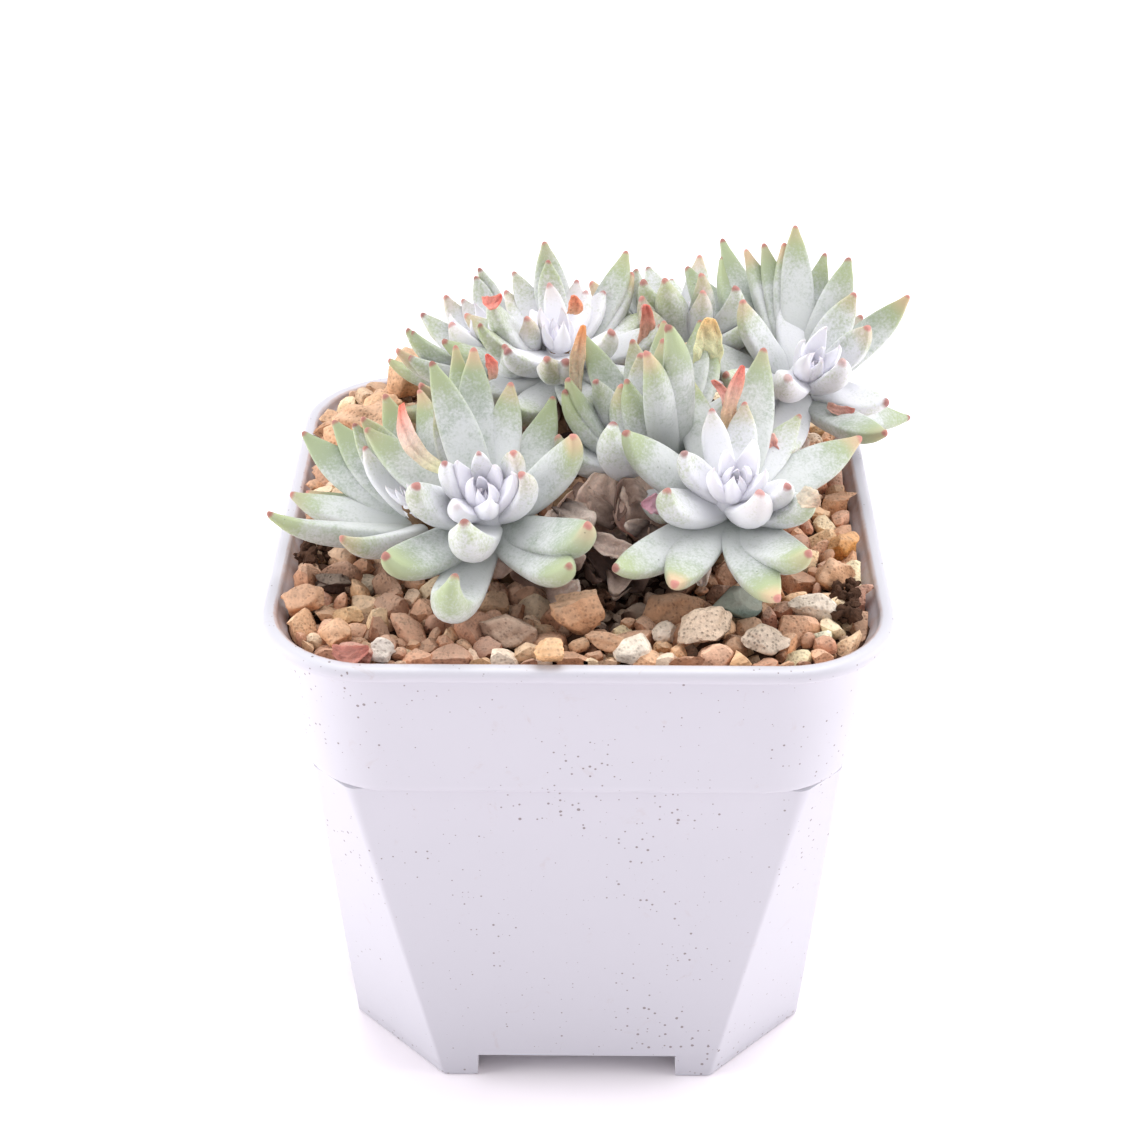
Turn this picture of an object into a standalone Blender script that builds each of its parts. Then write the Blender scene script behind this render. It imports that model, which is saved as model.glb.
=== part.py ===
"""A potted succulent: eight rosettes of thick, lance-shaped leaves in a square nursery pot.

The pot's axis is Z at first, with its feet at z = 0. At the end the whole is moved in X and Y,
so that the middle of its footprint, leaves included, is at the origin.
"""

import math

import bmesh
import bpy
from mathutils import Matrix, Vector

mm = 0.001

# Pot
potHeight = 83 * mm
rimWidth = 90 * mm
rimCorner = 16.6 * mm
lipReach = 2.4 * mm
lipHeight = 2.0 * mm
collarHeight = 24 * mm
collarTaper = 2.3 * mm
collarCorner = 15 * mm
collarStep = 1.5 * mm
bodyTaper = 3.0 * mm
bodyTopCut = 5.8 * mm
footCut = 14.8 * mm
wallThickness = 1.7 * mm
floorRise = 5.2 * mm
floorThickness = 2.2 * mm
notchWidth = 31 * mm
notchHeight = 4.5 * mm
drainDiameter = 8 * mm
drainSpacing = 17 * mm
cornerSteps = 5

# Fill
fitGap = 0.3 * mm
dressingDepth = 8 * mm
dressingBelowRim = 2.2 * mm
moundHeight = 4.5 * mm

# Plant
stemThickness = 5.6 * mm
stemTip = 3.6 * mm
leafThickness = 0.44  # of the leaf's width
leafSeatDrop = 4 * mm  # how much lower on the stem the longest leaves start
leafSeatReach = 1.6 * mm  # and how much further out
crownRadius = 1 * mm
crownTop = 1.5 * mm
crownRise = 0 * mm  # extra height of every rosette over the dressing
rootWidth = 8.4 * mm
rootHeight = 7 * mm

# Each rosette: its crown from the rim's middle (mm), its stem's foot (mm), how far its axis tilts
# and towards where (degrees), its free outer leaves and the leaves that are one piece with it.
# Each leaf: turn and lean (degrees), length, width (mm) and how far it curls up again (degrees).
rosettes = {
    "front_left": {
        "crown": (-13, -22, 13), "foot": (-9, -15), "tilt": 28, "face": 265,
        "outer": [
            (95, 76, 23, 6.2, 10), (137, 90, 21, 6.2, 18), (226, 73, 19, 6.8, 30),
            (260, 92, 22, 6.8, 70), (307, 72, 19, 6.8, 35), (24, 62, 18, 6, 30), (70, 94, 17, 6, 20),
        ],
        "inner": [
            (78, 54, 16, 5.2, 12), (115, 50, 15, 5, 10), (189, 50, 13, 5.6, 35), (258, 50, 14, 6, 50),
            (350, 41, 11, 5, 35), (160, 28, 11, 4, 12), (37, 24, 12, 4.4, 12), (280, 12, 8, 3.4, 10),
        ],
    },
    "left": {
        "crown": (-24, -14, 9), "foot": (-19, -9), "tilt": 30, "face": 185,
        "outer": [
            (141, 60, 22.5, 5.6, 10), (172, 64, 19, 5.6, 10), (206, 58, 23, 5.6, 8),
            (95, 48, 19, 5.4, 10),
        ],
        "inner": [(140, 40, 13, 4.8, 10), (250, 60, 9, 4.6, 15), (190, 40, 10, 4.4, 10)],
    },
    "front_right": {
        "crown": (22, -20, 14), "foot": (16, -13), "tilt": 28, "face": 275,
        "outer": [
            (80, 78, 22.5, 6.2, 8), (136, 96, 13, 5.2, 12), (222, 79, 22, 6.2, 15), (250, 80, 18, 6, 22),
            (292, 70, 20, 6.6, 12), (37, 96, 21, 6.4, 8), (333, 66, 15, 5.6, 15),
        ],
        "inner": [
            (161, 50, 10, 4.8, 20), (207, 55, 12, 5.6, 40), (296, 44, 10, 5.2, 45), (345, 40, 11, 4.6, 25),
            (60, 60, 15, 5, 15), (90, 55, 13, 4.6, 10), (120, 40, 11, 4, 10), (240, 12, 8, 3.4, 10),
        ],
    },
    "back_right": {
        "crown": (35, 14, 16), "foot": (26, 9), "tilt": 28, "face": 300,
        "outer": [
            (97, 61, 23.5, 5.6, 5), (126, 84, 25.5, 5.2, 5), (150, 100, 19, 5.6, 12), (66, 62, 20, 5.8, 8),
            (33, 77, 20.5, 5.4, 20), (305, 68, 18.5, 5.6, 15), (0, 105, 18, 5.6, 12),
        ],
        "inner": [
            (109, 55, 16, 5, 6), (80, 50, 15, 5.4, 8), (30, 42, 13, 5, 30), (320, 36, 9, 4.8, 35),
            (234, 55, 9, 5, 40), (150, 40, 12, 4.6, 10), (190, 50, 10, 4.6, 20), (270, 12, 8, 3.4, 10),
        ],
    },
    "middle": {
        "crown": (9.7, -6, 14.5), "foot": (8.5, -2), "tilt": 18, "face": 215,
        "outer": [
            (113, 44, 19, 5.4, 5), (181, 34, 18, 5, 12), (55, 68, 20, 5.6, 6),
        ],
        "inner": [
            (84, 33, 16, 5, 0), (195, 4, 13, 5.2, -5), (60, 19, 15, 5.4, -5), (345, 40, 11, 4.8, 10),
            (238, 50, 12, 5.8, 55),
        ],
    },
    "back_left": {
        "crown": (-3, 15, 20), "foot": (-3, 8), "tilt": 12, "face": 240,
        "outer": [
            (96, 44, 18, 5.6, 5), (42, 64, 16, 5.4, 5), (182, 50, 15, 5.2, 10), (331, 64, 11, 5.4, 20),
            (222, 66, 12, 5.4, 20), (275, 66, 11, 5.4, 20),
        ],
        "inner": [
            (72, 40, 11, 4, 5), (133, 45, 12.5, 4.6, 5), (20, 45, 9, 4, 10), (250, 20, 8, 3.4, 10),
            (300, 35, 8, 3.6, 10),
        ],
    },
    "far_left": {
        "crown": (-13, 21, 16), "foot": (-10, 13), "tilt": 25, "face": 170,
        "outer": [(80, 34, 15, 4.6, 5), (142, 44, 15, 4.8, 8), (185, 60, 16, 5, 10), (215, 52, 17, 5, 10)],
        "inner": [(116, 28, 11, 4, 5), (216, 25, 10, 4.4, 10), (30, 30, 9, 4, 10)],
    },
    "back_middle": {
        "crown": (16, 28, 17), "foot": (13, 20), "tilt": 12, "face": 150,
        "outer": [(160, 50, 16, 5.4, 8), (70, 50, 15, 5, 10), (20, 58, 14, 5, 10)],
        "inner": [(240, 45, 11, 4.8, 20), (115, 38, 12, 5, 5), (200, 38, 11, 4.6, 10), (330, 36, 10, 4.4, 20)],
    },
}

# Loose pieces on the dressing: place as a share of the pot's inner half-width, then three sizes (mm).
stones = {
    "pumice_large": ((0.41, -0.84), (8, 7, 5.5), "pumice"),
    "pumice_small": ((0.61, -0.86), (6.5, 5.5, 4.5), "pumice"),
    "green_stone": ((0.53, -0.65), (7, 6, 4.5), "zeolite"),
    "clay_chunk_front": ((0.0, -0.76), (8, 6.5, 6), "akadama"),
    "clay_chunk_left": ((-0.78, 0.3), (11, 9, 8), "akadama"),
    "clay_chunk_back": ((-0.62, 0.73), (10, 9, 8), "akadama"),
    "bark_chip": ((-0.83, -0.52), (6, 4, 3), "bark"),
}

# Colour (linear), roughness
finishes = {
    "white_plastic": ((0.80, 0.79, 0.84), 0.38),
    "soil": ((0.045, 0.028, 0.018), 0.95),
    "akadama": ((0.48, 0.27, 0.14), 0.95),
    "pumice": ((0.60, 0.52, 0.42), 0.95),
    "zeolite": ((0.21, 0.25, 0.22), 0.85),
    "bark": ((0.05, 0.035, 0.03), 0.9),
    "leaf": ((0.42, 0.52, 0.43), 0.62),
    "stem": ((0.22, 0.15, 0.09), 0.9),
}


def clearScene():
    for obj in list(bpy.data.objects):
        bpy.data.objects.remove(obj, do_unlink=True)


def newCollection(name):
    collection = bpy.data.collections.new(name)
    bpy.context.scene.collection.children.link(collection)
    return collection


def finish(nodeName, kind):
    colour, roughness = finishes[kind]
    material = bpy.data.materials.new(f"{nodeName}_{kind}")
    material.use_nodes = True
    shader = material.node_tree.nodes["Principled BSDF"]
    shader.inputs["Base Color"].default_value = (*colour, 1)
    shader.inputs["Roughness"].default_value = roughness
    return material


def addObject(name, bm, collection, parent, kind, smooth=True, matrix=None):
    mesh = bpy.data.meshes.new(name)
    bm.to_mesh(mesh)
    bm.free()
    if smooth:
        mesh.shade_smooth()
    mesh.materials.append(finish(name, kind))
    obj = bpy.data.objects.new(name, mesh)
    collection.objects.link(obj)
    obj.parent = parent
    if matrix is not None:
        obj.matrix_local = matrix
    return obj


def asCutter(obj):
    obj.hide_render = True
    obj.display_type = "WIRE"
    return obj


def squareSection(half, corner, roundness, z):
    """A square with its corners cut: straight at roundness 0, a quarter circle at 1."""
    points = []
    for quarter in range(4):
        turn = Matrix.Rotation(quarter * math.pi / 2, 3, "Z")
        for step in range(cornerSteps + 1):
            share = step / cornerSteps
            angle = share * math.pi / 2
            arc = Vector((math.cos(angle), math.sin(angle), 0))
            line = Vector((1 - share, share, 0))
            way = arc * roundness + line * (1 - roundness)
            middle = Vector((half - corner, half - corner, z))
            points.append(turn @ (middle + way * corner))
    return points


def loft(sections):
    """A closed body through sections that have as many points each, with a flat face at both ends."""
    bm = bmesh.new()
    rings = [[bm.verts.new(point) for point in section] for section in sections]
    for lower, upper in zip(rings, rings[1:]):
        for i in range(len(lower)):
            j = (i + 1) % len(lower)
            bm.faces.new((lower[i], lower[j], upper[j], upper[i]))
    bm.faces.new(rings[0][::-1])
    bm.faces.new(rings[-1])
    bmesh.ops.recalc_face_normals(bm, faces=bm.faces)
    return bm


# Half-widths of the pot's outside, from the rim down
rimHalf = rimWidth / 2
collarTopHalf = rimHalf - lipReach
collarFootHalf = collarTopHalf - collarTaper
bodyTopHalf = collarFootHalf - collarStep
bodyFootHalf = bodyTopHalf - bodyTaper
collarFoot = potHeight - collarHeight
mouthHalf = rimHalf - lipReach + 0.1 * mm
floorTop = floorRise + floorThickness


def bodyHalfAt(z):
    return bodyFootHalf + (bodyTopHalf - bodyFootHalf) * z / collarFoot


def bodyCutAt(z):
    return footCut + (bodyTopCut - footCut) * z / collarFoot


def collarHalfAt(z):
    return collarFootHalf + collarTaper * (z - collarFoot) / (collarHeight - lipHeight)


def innerSections(low, high, gap):
    """The inside of the pot between two heights, less a gap: body, slope under the collar, collar."""
    shoulder = collarFoot + 1.5 * wallThickness
    found = []
    for z in sorted({low, collarFoot - wallThickness, shoulder, high}):
        if not low <= z <= high:
            continue
        if z < shoulder:
            half = bodyHalfAt(z) - wallThickness - gap
            found.append(squareSection(half, bodyCutAt(z) - 0.4 * wallThickness, 0.4, z))
        else:
            half = collarHalfAt(z) - wallThickness - gap
            found.append(squareSection(half, collarCorner - wallThickness, 1, z))
    return found


def buildPot(collection, cutters, root):
    edge = 0.4 * mm
    lipFoot = potHeight - lipHeight
    outside = [
        squareSection(bodyFootHalf, footCut, 0, 0),
        squareSection(bodyHalfAt(collarFoot - edge), bodyTopCut, 0.4, collarFoot - edge),
        squareSection(collarFootHalf - 2 * edge, collarCorner - 2.4 * mm, 1, collarFoot),
        squareSection(collarFootHalf, collarCorner - 2 * mm, 1, collarFoot + 2 * edge),
        squareSection(collarTopHalf, collarCorner, 1, lipFoot),
        squareSection(rimHalf - edge, rimCorner - edge, 1, lipFoot + edge),
        squareSection(rimHalf, rimCorner, 1, lipFoot + 2 * edge),
        squareSection(rimHalf, rimCorner, 1, potHeight - edge),
        squareSection(rimHalf - edge, rimCorner - edge, 1, potHeight),
        squareSection(mouthHalf, collarCorner - 0.7 * mm, 1, potHeight),
    ]
    mouthFoot = lipFoot - 2 * edge
    inside = innerSections(floorTop, mouthFoot, 0)[::-1]
    ringHalf = bodyFootHalf - 1.3 * wallThickness
    underside = [
        squareSection(ringHalf, footCut - 0.6 * mm, 0, floorRise),
        squareSection(ringHalf, footCut - 0.6 * mm, 0, 0),
    ]
    pot = addObject("pot", loft(underside + outside + inside), collection, root, "white_plastic")
    pot.data.set_sharp_from_angle(angle=math.radians(25))
    for axis in range(2):
        bm = bmesh.new()
        bmesh.ops.create_cube(bm, size=1)
        size = [notchWidth, 2 * rimWidth] if axis else [2 * rimWidth, notchWidth]
        bmesh.ops.scale(bm, vec=(*size, 2 * notchHeight), verts=bm.verts)
        cut(pot, asCutter(addObject(f"foot_notch_{axis}", bm, cutters, root, "white_plastic")))
    places = [(0, 0)] + [(x, y) for x in (-1, 1) for y in (-1, 1)]
    for i, (x, y) in enumerate(places):
        bm = bmesh.new()
        bmesh.ops.create_cone(
            bm, cap_ends=True, segments=16, radius1=drainDiameter / 2, radius2=drainDiameter / 2,
            depth=4 * floorThickness,
            matrix=Matrix.Translation((x * drainSpacing, y * drainSpacing, floorRise + floorThickness / 2)),
        )
        cut(pot, asCutter(addObject(f"drain_{i}", bm, cutters, root, "white_plastic")))


def cut(obj, cutter):
    modifier = obj.modifiers.new(cutter.name, "BOOLEAN")
    modifier.operation = "DIFFERENCE"
    modifier.object = cutter


dressingTop = potHeight - dressingBelowRim
dressingFoot = dressingTop - dressingDepth


def ripple(x, y):
    """Low waves for the uneven top of the grains, within 1 of 0."""
    k = 0.36 / mm
    return 0.5 * math.sin(k * x + 1.3) * math.cos(0.8 * k * y) + 0.5 * math.sin(0.7 * k * (x + y))


def dressingHeightAt(x, y):
    """The top of the dressing: level at the front, with a mound towards the back left corner."""
    half = mouthHalf
    far = math.hypot(x / half + 0.62, y / half - 0.55)
    rim = max(abs(x), abs(y)) / half
    mound = moundHeight * max(0, 1 - (far / 0.75) ** 2) * max(0, 1 - rim**6)
    return dressingTop + mound + 0.45 * mm * ripple(x, y)


def buildFill(collection, root):
    top = dressingFoot - fitGap
    soil = loft(innerSections(floorTop + fitGap, top, fitGap))
    addObject("potting_soil", soil, collection, root, "soil", smooth=False)

    sections = innerSections(dressingFoot, dressingTop - 1.2 * mm, fitGap)
    rim = sections[-1]
    shares = [0.97, 0.88, 0.76, 0.63, 0.49, 0.34, 0.18, 0.06]
    for share in shares:
        ring = []
        for point in rim:
            x, y = point.x * share, point.y * share
            ring.append(Vector((x, y, dressingHeightAt(x, y))))
        sections.append(ring)
    addObject("gravel_bed", loft(sections), collection, root, "akadama", smooth=False)


def buildStones(collection, root):
    for number, (name, (place, size, kind)) in enumerate(stones.items()):
        bm = bmesh.new()
        bmesh.ops.create_icosphere(bm, subdivisions=2, radius=0.5)
        for vert in bm.verts:
            p = vert.co * 2
            lump = 1 + 0.13 * math.sin(3.1 * p.x + number) * math.cos(2.7 * p.y + 2 * number)
            lump += 0.09 * math.sin(4.3 * p.z + 3 * number)
            vert.co = Vector([c * s * mm * lump for c, s in zip(vert.co, size)])
        x, y = (share * mouthHalf for share in place)
        reach = max(size[:2]) * 0.62 * mm
        around = [(x + reach * i / 3, y + reach * j / 3) for i in range(-3, 4) for j in range(-3, 4)]
        seat = max(dressingHeightAt(*spot) for spot in around)
        z = seat + 2 * fitGap - min(vert.co.z for vert in bm.verts)
        matrix = Matrix.Translation((x, y, z))
        addObject(name, bm, collection, root, kind, smooth=False, matrix=matrix)


def sweep(centre, across, thick, rings, sides):
    """A sphere drawn out along a centreline. centre(s) gives the point and the side and up directions
    at the share s of the way; across(s) and thick(s) give the half-widths there."""
    bm = bmesh.new()
    bmesh.ops.create_uvsphere(bm, u_segments=sides, v_segments=rings, radius=1)
    for vert in bm.verts:
        s = min(max((1 + vert.co.z) / 2, 0), 1)
        flat = Vector((vert.co.x, vert.co.y))
        if flat.length > 1e-6:
            flat.normalize()
        point, side, up = centre(s)
        top = 0.4 if flat.y > 0 else 1  # the upper face of a leaf is flatter than its keel
        vert.co = point + side * across(s) * flat.x + up * thick(s) * flat.y * (top if thick != across else 1)
    return bm


def leafWidthAt(s):
    """Share of the full width along a leaf: a narrow base, widest near the middle, a rounded point."""
    widest, base = 0.5, 0.42
    if s < widest:
        return base + (1 - base) * math.sin(math.pi / 2 * s / widest)
    return max(1 - ((s - widest) / (1 - widest)) ** 2.4, 0)


def leafMesh(lean, length, width, curl, seat, reach):
    """A leaf in its own frame: Z is the stem, X is the way it leans out, Y is its width."""
    lean, curl = math.radians(lean), math.radians(curl)
    steps = 24
    points = [Vector((reach, 0, -seat))]
    for i in range(steps):
        angle = lean - curl * ((i + 0.5) / steps) ** 1.2
        points.append(points[-1] + Vector((math.sin(angle), 0, math.cos(angle))) * length / steps)

    def centre(s):
        i = min(int(s * steps), steps - 1)
        point = points[i].lerp(points[i + 1], s * steps - i)
        angle = lean - curl * s**1.2
        return point, Vector((0, 1, 0)), Vector((-math.cos(angle), 0, math.sin(angle)))

    def across(s):
        return width / 2 * leafWidthAt(s)

    def thick(s):
        return width * leafThickness * (0.35 + 0.65 * leafWidthAt(s)) * min(1, 6 * (1 - s)) ** 0.5

    return sweep(centre, across, thick, 7, 6)


def leafFrame(crown, axis, turn):
    """The frame at a crown whose Z is the stem and whose X points the way of the turn, seen from above."""
    way = Vector((math.cos(math.radians(turn)), math.sin(math.radians(turn)), 0))
    out = (way - axis * way.dot(axis)).normalized()
    side = axis.cross(out)
    frame = Matrix((out, side, axis)).transposed().to_4x4()
    frame.translation = crown
    return frame


def addLeaf(name, row, crown, axis, collection, root, free):
    turn, lean, length, width, curl = row
    share = min(max((length - 7) / 10, 0), 1)
    reach = share * leafSeatReach + crownRadius
    apart = stemThickness / 2 + fitGap - crownRadius if free else -0.6 * mm
    bm = leafMesh(lean, length * mm - apart, width * mm, curl, share * leafSeatDrop, reach + apart)
    return addObject(name, bm, collection, root, "leaf", matrix=leafFrame(crown, axis, turn))


def buildStem(name, crown, axis, foot, collection, root):
    start = Vector((foot[0] * mm, foot[1] * mm, 0))
    start.z = dressingHeightAt(start.x, start.y) + stemThickness / 2
    knee = crown - axis * (crown - start).length * 0.55
    end = crown + axis * crownTop

    def centre(s):
        point = start * (1 - s) ** 2 + knee * 2 * s * (1 - s) + end * s**2
        along = ((knee - start) * (1 - s) + (end - knee) * s).normalized()
        side = along.cross(Vector((0.31, 0.2, 0.1))).normalized()
        return point, side, along.cross(side)

    def radius(s):
        return (stemThickness * (1 - s) + stemTip * s) / 2

    return addObject(name, sweep(centre, radius, radius, 8, 8), collection, root, "stem")


def buildRosettes(collection, tools, root):
    for name, rosette in rosettes.items():
        x, y, rise = rosette["crown"]
        crown = Vector((x * mm, y * mm, potHeight + rise * mm + crownRise))
        tilt, face = math.radians(rosette["tilt"]), math.radians(rosette["face"])
        axis = Vector((math.sin(tilt) * math.cos(face), math.sin(tilt) * math.sin(face), math.cos(tilt)))
        stem = buildStem(f"{name}_crown", crown, axis, rosette["foot"], collection, root)
        joined = bpy.data.collections.new(f"{name}_inner_leaves")
        tools.children.link(joined)
        for i, row in enumerate(rosette["inner"]):
            asCutter(addLeaf(f"{name}_inner_{i + 1}", row, crown, axis, joined, root, False))
        union = stem.modifiers.new("inner leaves", "BOOLEAN")
        union.operation = "UNION"
        union.operand_type = "COLLECTION"
        union.collection = joined
        for i, row in enumerate(rosette["outer"]):
            addLeaf(f"{name}_leaf_{i + 1}", row, crown, axis, collection, root, True)


def buildRootstock(collection, root):
    bm = bmesh.new()
    bmesh.ops.create_uvsphere(bm, u_segments=12, v_segments=8, radius=0.5)
    bmesh.ops.scale(bm, vec=(rootWidth, rootWidth * 0.8, rootHeight), verts=bm.verts)
    x, y = 0, -4 * mm
    z = dressingHeightAt(x, y) + rootHeight / 2 + 2 * fitGap
    addObject("rootstock", bm, collection, root, "stem", matrix=Matrix.Translation((x, y, z)))


def centreOnFootprint(root, collection):
    """Moves the root so that the footprint's middle, leaves included, comes to the origin."""
    bpy.context.view_layer.update()
    low, high = Vector((0, 0)), Vector((0, 0))
    for obj in collection.objects:
        if obj.type != "MESH":
            continue
        for vert in obj.data.vertices:
            place = obj.matrix_world @ vert.co
            for i in range(2):
                low[i] = min(low[i], place[i])
                high[i] = max(high[i], place[i])
    root.location = (-(low.x + high.x) / 2, -(low.y + high.y) / 2, 0)


def main():
    clearScene()
    bpy.context.scene.unit_settings.system = "METRIC"
    parts = newCollection("potted_succulent")
    cutters = newCollection("cutters")
    cutters.hide_render = True
    root = bpy.data.objects.new("root", None)
    parts.objects.link(root)
    buildPot(parts, cutters, root)
    buildFill(parts, root)
    buildStones(parts, root)
    buildRootstock(parts, root)
    buildRosettes(parts, cutters, root)
    centreOnFootprint(root, parts)


main()
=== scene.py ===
import math
from functools import partial
import bpy
import bmesh
import numpy as np
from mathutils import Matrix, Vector


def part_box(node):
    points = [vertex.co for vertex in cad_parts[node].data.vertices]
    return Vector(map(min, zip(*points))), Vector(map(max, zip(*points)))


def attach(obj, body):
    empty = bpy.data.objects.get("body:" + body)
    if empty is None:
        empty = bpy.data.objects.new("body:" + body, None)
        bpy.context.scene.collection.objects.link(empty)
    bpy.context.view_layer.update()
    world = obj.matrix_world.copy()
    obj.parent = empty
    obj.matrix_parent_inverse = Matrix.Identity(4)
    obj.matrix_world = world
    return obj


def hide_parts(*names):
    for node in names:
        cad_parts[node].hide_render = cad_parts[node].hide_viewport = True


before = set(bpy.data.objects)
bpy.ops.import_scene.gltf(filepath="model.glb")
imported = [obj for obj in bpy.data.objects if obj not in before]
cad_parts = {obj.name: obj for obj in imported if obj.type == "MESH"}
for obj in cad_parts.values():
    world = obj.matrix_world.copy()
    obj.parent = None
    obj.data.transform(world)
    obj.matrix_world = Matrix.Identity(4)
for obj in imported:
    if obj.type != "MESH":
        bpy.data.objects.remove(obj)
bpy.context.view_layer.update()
mm = 0.001
potLow, potHigh = (np.array(corner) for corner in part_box("pot"))
potMiddle = (potLow + potHigh) / 2 * np.array([1, 1, 0])


def linear(hexColour):  # sRGB hex to linear: c / 12.92 near black, ((c + 0.055) / 1.055) ^ 2.4 above
    parts = [int(hexColour[i:i + 2], 16) / 255 for i in (1, 3, 5)]
    return tuple(c / 12.92 if c <= 0.04045 else ((c + 0.055) / 1.055) ** 2.4 for c in parts) + (1.0,)


def addNode(tree, kind, *values, out=0, **named):
    # one node, giving back the output or outputs asked for. A kind in capitals is the operation of a Math node.
    # Values and links go to the sockets in order; a name with a capital is a socket too, the rest are settings
    made = tree.nodes.new("ShaderNodeMath" if kind.isupper() else "ShaderNode" + kind)
    if kind.isupper():
        made.operation = kind
    sockets = dict(enumerate(values))
    for name, value in named.items():
        if name[0].isupper():
            sockets[name] = value
        else:
            setattr(made, name, value)
    for name, value in sockets.items():
        if isinstance(value, bpy.types.NodeSocket):
            tree.links.new(value, made.inputs[name])
        elif value is not None:
            made.inputs[name].default_value = value
    return [made.outputs[name] for name in out] if isinstance(out, tuple) else made.outputs[out]


def painted(add, base, *layers):  # colours laid over a base in turn, each as base + (colour - base) * share
    colours = [linear(c) if isinstance(c, str) else c for c in (base, *(colour for _, colour in layers))]
    base = colours[0]
    for (share, _), colour in zip(layers, colours[1:]):  # the colour sockets of a Mix node are its 7th and 8th
        base = add("Mix", share, *[None] * 5, base, colour, out=2, data_type="RGBA")
    return base


def newMaterial(name, sockets):  # a Principled material with these values on its shader's own sockets
    material = bpy.data.materials.new(name)
    material.use_nodes = True
    for socket, value in sockets.items():
        material.node_tree.nodes["Principled BSDF"].inputs[socket].default_value = value
    return material, partial(addNode, material.node_tree)


def surfaced(material, colour, height, strength, depth):
    # the shader's colour, and its bump: a height from 0 to 1 times a depth in mm, weakened by the strength
    tree = material.node_tree
    bump = addNode(tree, "Bump", Height=height, Strength=strength, Distance=depth * mm)
    for socket, value in (("Base Color", colour), ("Normal", bump)):
        tree.links.new(value, tree.nodes["Principled BSDF"].inputs[socket])
    return material


def perMm(size):  # a noise scale whose features are about this many millimetres across
    return 1 / (size * mm)


def unit(vectors):  # each vector over its own length
    return vectors / np.linalg.norm(vectors, axis=-1, keepdims=True)


def heading(degrees):  # the level direction at an angle round from the right
    return np.array([math.cos(math.radians(degrees)), math.sin(math.radians(degrees)), 0])


def circle(count):  # the cosines and sines of evenly spaced angles round one turn
    phi = np.linspace(0, 2 * np.pi, count, endpoint=False)
    return np.cos(phi), np.sin(phi)


def putMesh(name, points, faces, material, attributes=None):
    # points in mm from the pot's middle, and faces as arrays of one corner count each, into a mesh. Six times
    # the volume is the sum of a . (b x c) over a fan of triangles; where it is negative every face is turned
    points = np.asarray(points, float).reshape(-1, 3) * mm + potMiddle
    volume = 0
    for group in faces:
        for i in range(1, group.shape[1] - 1):
            a, b, c = points[group[:, 0]], points[group[:, i]], points[group[:, i + 1]]
            volume += np.einsum("ij,ij->i", a, np.cross(b, c)).sum()
    if volume < 0:
        faces = [group[:, ::-1] for group in faces]
    corners = np.concatenate([group.reshape(-1) for group in faces]).astype(np.int32)
    counts = np.concatenate([np.full(len(group), group.shape[1]) for group in faces])
    mesh = bpy.data.meshes.new(name)
    mesh.vertices.add(len(points))
    mesh.vertices.foreach_set("co", points.astype(np.float32).reshape(-1))
    mesh.loops.add(len(corners))
    mesh.loops.foreach_set("vertex_index", corners)
    mesh.polygons.add(len(counts))
    mesh.polygons.foreach_set("loop_start", (np.cumsum(counts) - counts).astype(np.int32))
    mesh.update(calc_edges=True)
    mesh.validate()
    for key, values in (attributes or {}).items():
        layer = mesh.attributes.new(key, "FLOAT_COLOR", "POINT")
        layer.data.foreach_set("color", np.asarray(values, np.float32).reshape(-1))
    mesh.shade_smooth()
    mesh.materials.append(material)
    obj = bpy.data.objects.new(name, mesh)
    bpy.context.scene.collection.objects.link(obj)
    return obj


def declare(obj, slotName, *nodes):  # the body a piece rides on, and the CAD nodes it stands for, which it hides
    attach(obj, "root")
    if nodes:
        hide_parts(*nodes)
    return obj


def loopQuads(rows, columns):  # the quads between neighbouring rows of a grid, each row a closed loop
    i, j = np.meshgrid(np.arange(rows - 1) * columns, np.arange(columns), indexing="ij")
    k = (j + 1) % columns
    return np.stack([i + j, i + k, i + columns + k, i + columns + j], -1).reshape(-1, 4)


def cappedFaces(rows, columns):  # loops with one many-sided face over each end
    ends = np.stack([np.arange(columns)[::-1], np.arange((rows - 1) * columns, rows * columns)])
    return [loopQuads(rows, columns), ends]


def tube(rings, foot, tip):  # loops closed by fans to two poles, which are the last two points
    rows, columns = rings.shape[:2]
    j = np.arange(columns)
    k = (j + 1) % columns
    pole, last = np.full(columns, rows * columns), (rows - 1) * columns
    fans = np.concatenate([np.stack([pole, k, j], 1), np.stack([pole + 1, j + last, k + last], 1)])
    return np.concatenate([rings.reshape(-1, 3), [foot, tip]]), [loopQuads(rows, columns), fans]


def joinParts(parts):  # several (points, faces, attributes) into one, with the face numbers moved on
    points, groups, layers, start = [], {}, {}, 0
    for somePoints, someFaces, attributes in parts:
        points.append(somePoints)
        for group in someFaces:
            groups.setdefault(group.shape[1], []).append(group + start)
        for key, values in attributes.items():
            layers.setdefault(key, []).append(values)
        start += len(somePoints)
    return (np.concatenate(points), [np.concatenate(group) for group in groups.values()],
            {key: np.concatenate(values) for key, values in layers.items()})


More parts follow.
